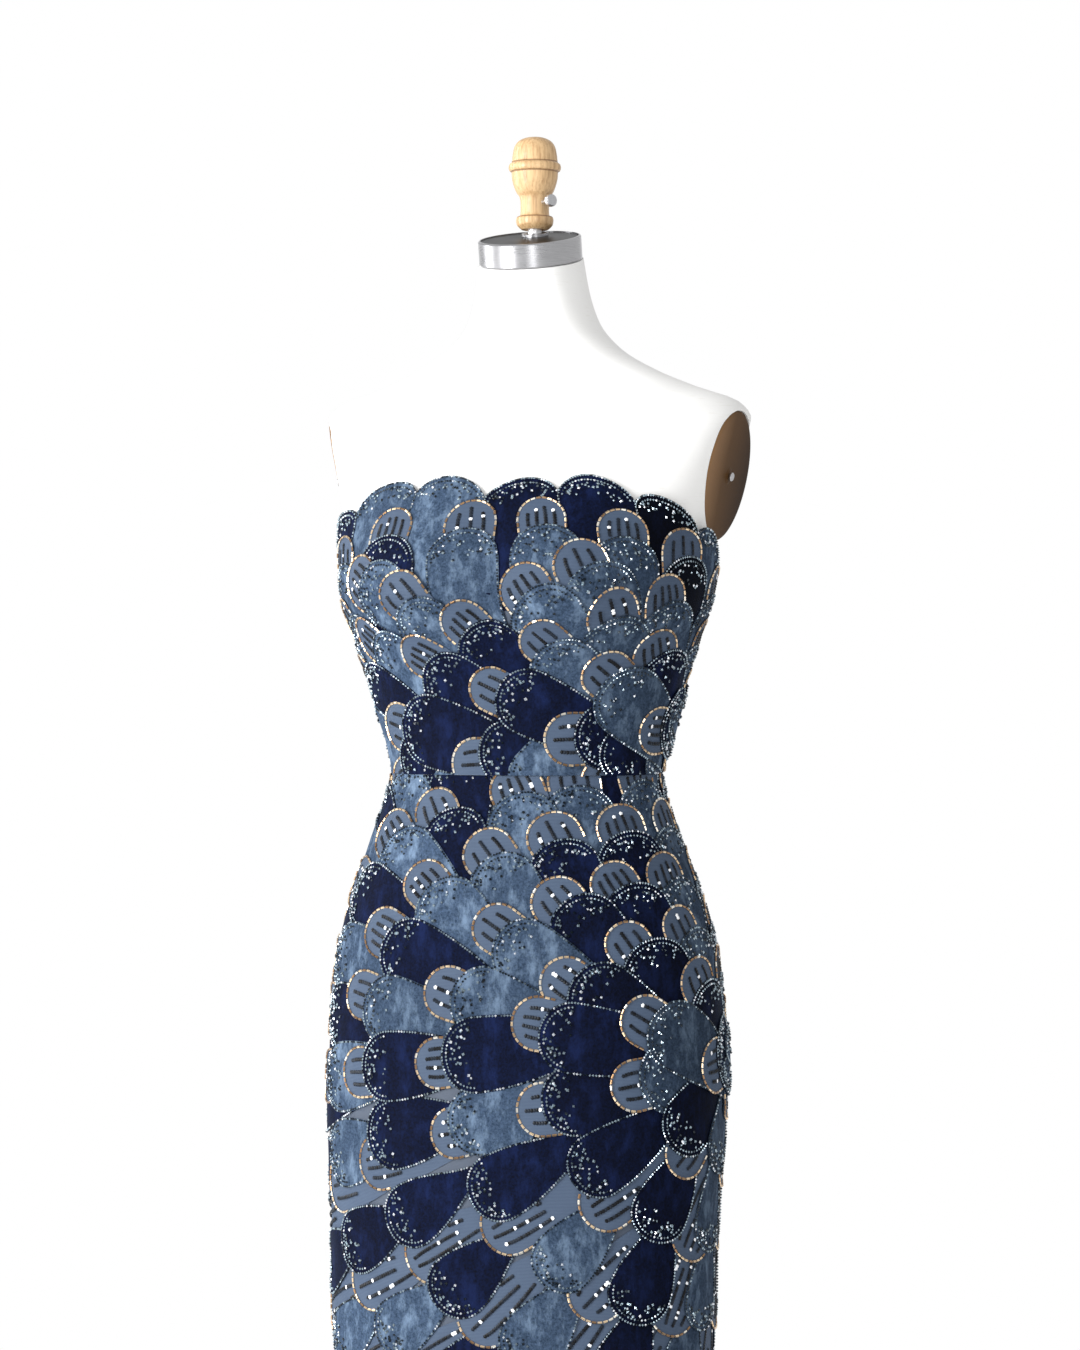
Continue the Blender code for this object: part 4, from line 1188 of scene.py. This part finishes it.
for part, petals in velvets.items():
    for petal in petals:
        shoulder = petal.length - petal.tip
        note_beads(part, petal, "steel_beads", *edge_beads(petal, BEAD_INSET, BEAD_STEP, 0.0))
        note_beads(part, petal, "steel_beads", *edge_beads(petal, SECOND_INSET, SECOND_STEP, shoulder))
        sweep = draws.uniform(radians(8), radians(172), STREWN)
        inset = SECOND_INSET + 2 * MM + draws.exponential(STREWN_OVER, STREWN)
        aside = (petal.half - inset) * np.cos(sweep)
        along = shoulder + (petal.tip - inset) * np.sin(sweep)
        keep = inset < petal.tip
        turn = draws.uniform(0, pi, STREWN)
        size = draws.uniform(0.9, 1.4, STREWN)
        note_beads(part, petal, "steel_beads", aside[keep], along[keep], turn[keep], size[keep])
for part, petals in nets.items():
    for petal in petals:
        deep = petal.marks["deep"]
        low = max(petal.length - petal.tip - 16 * MM, 0)
        note_beads(part, petal, "champagne_bugles", *edge_beads(petal, BUGLE_INSET, BUGLE_STEP, low))
        count = 4 if petal.marks["tone"] > MANY_RAYS_FROM else 3
        for ray in range(count):
            share = (ray + 0.5) / count * 2 - 1
            start = petal.length - (8 + 7 * abs(share)) * MM - draws.uniform(0, 3) * MM
            run = between(*RAY_RUN, deep) * MM * draws.uniform(0.75, 1.1)
            along = start - np.arange(int(run / SEQUIN_STEP)) * SEQUIN_STEP
            along = along[along > 0]
            aside = share * RAY_SPREAD * petal.half_width(along)
            note_beads(part, petal, "sequin_rays", aside, along, np.full(len(along), pi / 2))


def seen_rows(part, noted, cuts):
    """The beads that no later petal covers and no seam cuts off, with their points."""
    order = sewing_order[part]
    turn_of = {id(petal): number for number, petal in enumerate(order)}
    turns = np.concatenate([np.full(len(rows), turn_of[id(petal)]) for petal, rows in noted])
    rows = np.concatenate([rows for petal, rows in noted])
    points = surface(rows[:, 0], rows[:, 1], EASE + NET_WALL + rows[:, 2])
    seen = np.ones(len(rows), bool)
    for number, petal in enumerate(order):
        tip = body_points(petal.angle, petal.height)
        near = seen & (turns < number) & (abs(points[:, 2] - tip[2]) < petal.length + petal.half)
        near[near] = np.linalg.norm(points[near] - tip, axis=1) < petal.length + petal.half
        spots = np.flatnonzero(near)
        if len(spots) and not isinstance(petal, TopPetal):
            aside, along = petal.local(rows[spots, 0], rows[spots, 1])
            inside = (along > 0) & (along < petal.length)
            inside &= abs(aside) < petal.half_width(along) + BEAD_HALF
            seen[spots[inside]] = False
    rows, points = rows[seen], points[seen]
    keep = np.ones(len(rows), bool)
    for cut in cuts:
        keep &= points[:, cut.axis] * cut.side > cut.at * cut.side + CUT_CLEAR
    return rows[keep], points[keep]


def bead_tree(name, long_ones):
    """Geometry Nodes that set a bead on every point, lying along its thread."""
    tree = bpy.data.node_groups.new(name, "GeometryNodeTree")
    tree.interface.new_socket("Threads", in_out="INPUT", socket_type="NodeSocketGeometry")
    for socket in ("Length", "Width", "Thickness"):
        tree.interface.new_socket(socket, in_out="INPUT", socket_type="NodeSocketFloat")
    tree.interface.new_socket("Sides", in_out="INPUT", socket_type="NodeSocketInt")
    tree.interface.new_socket("Finish", in_out="INPUT", socket_type="NodeSocketMaterial")
    tree.interface.new_socket("Beads", in_out="OUTPUT", socket_type="NodeSocketGeometry")
    nodes = Nodes(tree)
    given = tree.nodes.new("NodeGroupInput")
    threads, length, width, thickness, sides, finish = (Wire(nodes, s) for s in given.outputs[:6])
    if long_ones:
        sockets = {"Vertices": sides, "Radius": 0.5, "Depth": 1.0}
        bead = nodes.node("GeometryNodeMeshCylinder", {}, sockets)
        bead = nodes.node("GeometryNodeTransform", {}, {"Geometry": bead, "Rotation": (0, pi / 2, 0)})
    else:
        sockets = {"Segments": sides, "Rings": 2, "Radius": 0.5}
        bead = nodes.node("GeometryNodeMeshUVSphere", {}, sockets)
    size = nodes.node("ShaderNodeCombineXYZ", {}, {0: length, 1: width, 2: thickness})
    bead = nodes.node("GeometryNodeTransform", {}, {"Geometry": bead, "Scale": size})
    out, along, scale = (
        nodes.node("GeometryNodeInputNamedAttribute", {"data_type": kind}, {"Name": word})
        for word, kind in (("out", "FLOAT_VECTOR"), ("along", "FLOAT_VECTOR"), ("size", "FLOAT"))
    )
    turn = nodes.node(
        "FunctionNodeAxesToRotation",
        {"primary_axis": "Z", "secondary_axis": "X"},
        {"Primary Axis": out, "Secondary Axis": along},
    )
    points = nodes.node("GeometryNodeMeshToPoints", {}, {"Mesh": threads})
    sockets = {"Points": points, "Instance": bead, "Rotation": turn, "Scale": scale}
    beads = nodes.node("GeometryNodeInstanceOnPoints", {}, sockets)
    beads = nodes.node("GeometryNodeRealizeInstances", {}, {"Geometry": beads})
    beads = nodes.node("GeometryNodeSetMaterial", {}, {"Geometry": beads, "Material": finish})
    sent = tree.nodes.new("NodeGroupOutput")
    tree.links.new(beads.socket, sent.inputs[0])
    return tree


Bead = namedtuple("Bead", "tree length width thickness sides rise finish")


def glass_finish(name, dark, bright, glint_from, glint, **shine):
    """Beads of one sort, some dark and some painted bright, and a few with a painted white glint: painted
    highlights.
    """
    beads = Finish(name)
    own = beads.attribute("glint")
    tone = beads.mix(beads.ramp(own, (0.35, 0.0), (0.6, 1.0)), dark, bright)
    return beads.shader(base_color=beads.mix(own > glint_from, tone, glint), **shine)


round_tree, long_tree = bead_tree("round_beads", False), bead_tree("bugle_beads", True)
# The bright tones and the white glints of these bead finishes are painted highlights.
steel = glass_finish(
    "steel_beads",
    (0.012, 0.02, 0.028),
    (0.33, 0.42, 0.48),
    0.9,
    (0.9, 0.94, 1),
    metallic=0.6,
    roughness=0.22,
    coat_weight=0.4,
)
champagne = glass_finish(
    "champagne_bugles",
    (0.34, 0.2, 0.1),
    (0.95, 0.72, 0.46),
    0.86,
    (1, 0.93, 0.8),
    metallic=0.85,
    roughness=0.28,
    coat_weight=0.4,
)
dark_sequins = glass_finish(
    "dark_sequins",
    (0.001, 0.002, 0.004),
    (0.008, 0.013, 0.022),
    1 - CLEAR_PAINTED_GLINT_SHARE,
    (0.95, 0.97, 1),
    roughness=0.4,
    specular_ior_level=0.2,
)
BEADS = {
    "steel_beads": Bead(round_tree, 2.5 * MM, 2.3 * MM, 2.1 * MM, 4, 0.6 * MM, steel),
    "champagne_bugles": Bead(long_tree, 3.9 * MM, 2.0 * MM, 1.8 * MM, 4, 0.6 * MM, champagne),
    "sequin_rays": Bead(round_tree, 3.6 * MM, 3.9 * MM, 1.3 * MM, 5, 0.65 * MM, dark_sequins),
}


def threaded(name, rows, points, bead):
    """Beads at the points of their threads, as one plain mesh."""
    out = outward(rows[:, 0], rows[:, 1])
    beyond = surface(rows[:, 3], rows[:, 4], EASE + NET_WALL + rows[:, 5])
    mesh = bpy.data.meshes.new(name)
    mesh.from_pydata((points + out * bead.rise).tolist(), [], [])
    for word, values in (("out", out), ("along", unit(beyond - points))):
        mark = mesh.attributes.new(word, "FLOAT_VECTOR", "POINT")
        mark.data.foreach_set("vector", values.astype(np.float32).ravel())
    for word, values in (("size", rows[:, 6]), ("glint", rows[:, 7])):
        mark = mesh.attributes.new(word, "FLOAT", "POINT")
        mark.data.foreach_set("value", values.astype(np.float32))
    made = linked(name, mesh)
    step = made.modifiers.new("beads", "NODES")
    step.node_group = bead.tree
    for item in bead.tree.interface.items_tree:
        word = item.name.lower()
        if word in bead._fields:
            step[item.identifier] = getattr(bead, word)
    return settled(made)


for panel, kinds in bead_rows.items():
    part = panel.split("_")[0]
    for kind, noted in kinds.items():
        rows, points = seen_rows(part, noted, cuts_of(panel))
        sew(panel, threaded(f"{panel}_{kind}", rows, points, BEADS[kind]))

# The armhole covers: slightly domed ovals in brown satin, sunk a little into the linen, each held
# by one screw on a low boss. The screw is the solids' own.
PLATE_THICK, PLATE_DOME, PLATE_SINK = 2.2 * MM, 0.3 * MM, 0.9 * MM
BOSS_RADIUS = 4 * MM
RIM_SHARE, RIM_DROP = 0.07, 2 * MM  # of the rounded rim
satin = Finish("brown_satin")
place = satin.place()
satin_thread = satin.noise(satin.stretched(place, (300, 300, 3000)), 1.0, 3.0)
satin_cloud = satin.noise(place, 14.0, 3.0)
# Painted light and shade: the satin is light brown at its front edge and turns dark brown towards the
# back.
painted_light_to_back = (satin.axis(place, 1) + 0.03) * 10.0 + satin_cloud * 0.2
painted_lit_brown, painted_half_lit_brown, painted_shaded_brown = (0.34, 0.19, 0.09), (0.11, 0.055, 0.02), (0.035, 0.016, 0.006)
satin_painted_light = satin.ramp(painted_light_to_back, (0.15, painted_lit_brown), (0.5, painted_half_lit_brown), (0.95, painted_shaded_brown))
satin.shader(
    base_color=satin.mix(satin_thread * 0.3, satin_painted_light, (0.03, 0.016, 0.008)),
    roughness=0.5,
    specular_ior_level=0.12,
    normal=satin.bump(satin_thread, 0.1 * MM, 0.4),
)
wide, boss_top = PLATE_WIDTH / 2, PLATE_SINK + PLATE_DOME
cover_outline = [(0, boss_top), (BOSS_RADIUS, boss_top), (BOSS_RADIUS + 1.5 * MM, PLATE_DOME)]
for share in np.linspace(0.15, 0.9, 7):
    cover_outline.append((wide * share, PLATE_DOME * (1 - share**2)))
for turn in np.linspace(0, pi / 2, 6):
    cover_outline.append((wide * (1 - RIM_SHARE + RIM_SHARE * sin(turn)), RIM_DROP * (cos(turn) - 1)))
cover_outline += [(wide, -PLATE_THICK), (0, -PLATE_THICK)]
for side, word in ((1, "left"), (-1, "right")):
    _, _, seat = arm_seat(side)
    cover_mesh = turned(f"arm_cover_{word}", cover_outline, squash=PLATE_HEIGHT / PLATE_WIDTH)
    cover_mesh.transform(seat @ Matrix.Translation((0, 0, -PLATE_SINK)))
    cover = linked(f"arm_cover_{word}", cover_mesh, satin.made)
    stands_for(cover, f"arm_plate_{word}")


# The neck: a brushed steel band tilted forward, with a dark plate let into its top. The rod that
# stands on the plate keeps the solid's own shape.
def metal_finish(name, dark, bright, roughness, brush):
    """Brushed metal: fine streaks along the brushing, and slight smudges."""
    metal = Finish(name)
    place = metal.place()
    streaks = metal.noise(metal.stretched(place, brush), 1.0, 4.0, 0.7)
    smudge = metal.noise(place, 35.0, 3.0)
    metal.shader(
        base_color=metal.mix(streaks, dark, bright),
        metallic=1.0,
        roughness=smudge * 0.12 + streaks * 0.1 + roughness,
        normal=metal.bump(streaks, 0.05 * MM, 0.35),
    )
    return metal.made


band_steel = metal_finish("band_steel", (0.3, 0.3, 0.31), (0.72, 0.72, 0.74), 0.18, (60, 60, 2600))
fitting_steel = metal_finish("fitting_steel", (0.45, 0.45, 0.46), (0.78, 0.78, 0.8), 0.22, (900, 900, 900))
dark_steel = metal_finish("dark_steel", (0.016, 0.017, 0.02), (0.04, 0.041, 0.046), 0.3, (300, 300, 300))

CAP_HALF_WIDTH, CAP_HALF_DEPTH, CAP_THICK = 46.5 * MM, 50 * MM, 22 * MM
CAP_CHAMFER, CAP_INSET, CAP_RECESS, CAP_PLATE = 1.2 * MM, 2.5 * MM, 2.5 * MM, 1.2 * MM
neck_foot = Matrix.Translation((0, NECK_CENTRE_Y, WAIST_HEIGHT + NECK_TOP))
neck_foot @= Matrix.Rotation(NECK_TILT, 4, "X")


def neck_piece(name, outline, squash, lift, finish, node):
    """A turned piece of the neck, tilted with it and lifted along it."""
    mesh = turned(name, outline, 128, squash)
    mesh.transform(neck_foot @ Matrix.Translation((0, 0, lift)))
    stands_for(linked(name, mesh, finish), node)


inner, edge = CAP_HALF_WIDTH - CAP_INSET + GAP, CAP_HALF_WIDTH - CAP_CHAMFER
band_outline = [
    (0, CAP_THICK - CAP_RECESS),
    (inner, CAP_THICK - CAP_RECESS),
    (inner, CAP_THICK),
    (edge, CAP_THICK),
    (CAP_HALF_WIDTH, CAP_THICK - CAP_CHAMFER),
    (CAP_HALF_WIDTH, CAP_CHAMFER),
    (edge, 0),
    (0, 0),
]
band_squash = CAP_HALF_DEPTH / CAP_HALF_WIDTH
neck_piece("brushed_band", band_outline, band_squash, GAP, band_steel, "neck_band")
plate_edge = CAP_HALF_WIDTH - CAP_INSET
plate_outline = [
    (0, CAP_PLATE),
    (plate_edge - 0.3 * MM, CAP_PLATE),
    (plate_edge, CAP_PLATE - 0.3 * MM),
    (plate_edge, 0),
    (0, 0),
]
disc_squash = (CAP_HALF_DEPTH - CAP_INSET) / plate_edge
disc_lift = GAP + CAP_THICK - CAP_RECESS + GAP
neck_piece("neck_disc", plate_outline, disc_squash, disc_lift, dark_steel, "neck_plate")


# The finial: turned from one piece of golden brown wood, with dark lines at its beads, held on
# the rod by a knurled thumb screw.
ROD_Y = 27 * MM
FINIAL_BOTTOM, FINIAL_HEIGHT = 492 * MM, 84 * MM
SOCKET_RADIUS, SOCKET_DEPTH = 6.4 * MM, 36 * MM
Turn = namedtuple("Turn", "radius height")  # in millimetres, top to bottom
FINIAL_OUTLINE = [
    Turn(0, 84),
    Turn(6, 83.6),
    Turn(12, 81.8),
    Turn(16.5, 78.4),
    Turn(19, 73.5),
    Turn(20.2, 67),
    Turn(21, 61),
    Turn(23.2, 58.8),
    Turn(23.8, 56.2),
    Turn(23, 53.4),
    Turn(21.2, 52),
    Turn(20.8, 47),
    Turn(19.2, 40),
    Turn(16.6, 33.6),
    Turn(13.8, 29.4),
    Turn(12.9, 24),
    Turn(12.9, 17),
    Turn(13.6, 12.6),
    Turn(16.2, 11.4),
    Turn(17, 8.4),
    Turn(16.4, 4.6),
    Turn(14.2, 1.8),
    Turn(12, 0),
]
turns = np.arange(len(FINIAL_OUTLINE))
fine_turns = np.linspace(0, turns[-1], 5 * turns[-1] + 1)
radii = curve_through(turns, [point.radius for point in FINIAL_OUTLINE])(fine_turns) * MM
reaches = curve_through(turns, [point.height for point in FINIAL_OUTLINE])(fine_turns) * MM
finial_outline = [(max(radius, 0.0), reach) for radius, reach in zip(radii, reaches)]
finial_outline += [(SOCKET_RADIUS, 0), (SOCKET_RADIUS, SOCKET_DEPTH), (0, SOCKET_DEPTH)]
finial_foot = Vector((0, ROD_Y, WAIST_HEIGHT + FINIAL_BOTTOM))

wood = Finish("golden_wood")
place = wood.place()
centred = wood.node("ShaderNodeVectorMath", {"operation": "SUBTRACT"}, {0: place, 1: finial_foot})
grain = wood.noise(wood.stretched(centred, (420, 420, 26)), 1.0, 4.0, 0.65)
figure = wood.noise(wood.stretched(centred, (60, 60, 12)), 1.0, 3.0)
up_share = wood.axis(centred, 2) * (1 / FINIAL_HEIGHT)
DARK_LINES = (0.135, 0.62, 0.725)  # heights of the dark lines, as shares of the finial
DARK_LINE_HALF = 0.008
dark_lines = 0
for line in DARK_LINES:
    off_line = up_share.maths("ABSOLUTE", up_share - line)
    dark_lines = dark_lines + (off_line < DARK_LINE_HALF)
wood_tone = wood.mix(figure, (0.56, 0.35, 0.16), (0.78, 0.545, 0.3))
wood_tone = wood.mix(wood.ramp(grain, (0.42, 0.0), (0.68, 0.62)), wood_tone, (0.28, 0.13, 0.04))
wood.shader(
    base_color=wood.mix(dark_lines * 0.7, wood_tone, (0.16, 0.07, 0.02)),
    roughness=grain * 0.15 + 0.38,
    coat_weight=0.15,
    normal=wood.bump(grain - dark_lines * 1.5, 0.12 * MM, 0.5),
)
finial_mesh = turned("turned_finial", finial_outline)
finial_mesh.transform(Matrix.Translation(finial_foot))
turned_finial = linked("turned_finial", finial_mesh, wood.made)
stands_for(turned_finial, "finial", "finial")

SCREW_HEIGHT = 24 * MM
SCREW_TURN = radians(-39)
HEAD_RADIUS, KNURLS, KNURL_DEPTH = 5.7, 24, 0.35
SCREW_OUTLINE = [
    Turn(0, 27.3),
    Turn(4.6, 27.3),
    Turn(HEAD_RADIUS, 26.4),
    Turn(HEAD_RADIUS, 22.9),
    Turn(4.6, 22),
    Turn(2.2, 21.6),
    Turn(2.2, 6.4),
    Turn(0, 6.4),
]
screw_mesh = turned("thumb_screw", [(point.radius * MM, point.height * MM) for point in SCREW_OUTLINE])
for vert in screw_mesh.vertices:
    if vert.co.xy.length > 5 * MM:
        wave = 0.5 - 0.5 * cos(KNURLS * np.arctan2(vert.co.y, vert.co.x))
        vert.co.xy *= 1 - KNURL_DEPTH / HEAD_RADIUS * wave
screw_aim = Matrix.Rotation(SCREW_TURN, 4, "Z") @ Matrix.Rotation(radians(90), 4, "Y")
screw_mesh.transform(Matrix.Translation(finial_foot + Vector((0, 0, SCREW_HEIGHT))) @ screw_aim)
thumb_screw = linked("thumb_screw", screw_mesh, fitting_steel)
stands_for(thumb_screw, "set_screw", "set_screw")

# The concealed zip at the centre back: navy tape closed down its middle, where its two edges meet
# in a fine groove, sewn between the two backs.
ZIP_ROWS, ZIP_COLUMNS = 90, 6
TAPE_THICK, GROOVE, GROOVE_SHARE = 2.2 * MM, 0.35 * MM, 0.18
zip_top = float(edge_height_at(pi)) - SCALLOP_DROP


def zip_place(column, row, side):
    """A point of the closed tape, on its outer or its inner face."""
    height = ZIP_END + GAP + (zip_top - ZIP_END - GAP) * row / ZIP_ROWS
    share = column / ZIP_COLUMNS * 2 - 1
    groove = GROOVE * np.exp(-((share / GROOVE_SHARE) ** 2)) * side
    points = surface(np.full(height.shape, pi), height, EASE + TAPE_THICK * side - groove)
    return points + share[..., None] * np.array([-ZIP_WIDTH / 2, 0, 0])


tape = Finish("zip_tape")
place = tape.place()
tape_rib = tape.node("ShaderNodeTexWave", {"bands_direction": "Z"}, {"Vector": place, "Scale": 420.0})
tape.shader(
    base_color=tape.mix(tape_rib, (0.006, 0.01, 0.03), (0.02, 0.03, 0.07)),
    roughness=0.7,
    normal=tape.bump(tape_rib, 0.15 * MM, 0.5),
)
zip_tape = linked("zip_tape", shell("zip_tape", ZIP_COLUMNS, ZIP_ROWS, zip_place), tape.made)
stands_for(zip_tape, "back_zip")
sewn["bodice_back_left"].append(zip_tape)

# The small steel fittings and the dark stand keep the solids' own shapes: the armhole screws, the
# rod, the zip's slider and pull, then the pole with its collar and base plate.
FINISHED_NODES = {
    fitting_steel: ("arm_screw_left", "arm_screw_right", "neck_rod", "zip_slider", "zip_pull"),
    dark_steel: ("pole", "pole_collar", "base_plate"),
}
for finish, nodes in FINISHED_NODES.items():
    for node in nodes:
        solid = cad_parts[node]
        solid.data.materials.clear()
        solid.data.materials.append(finish)
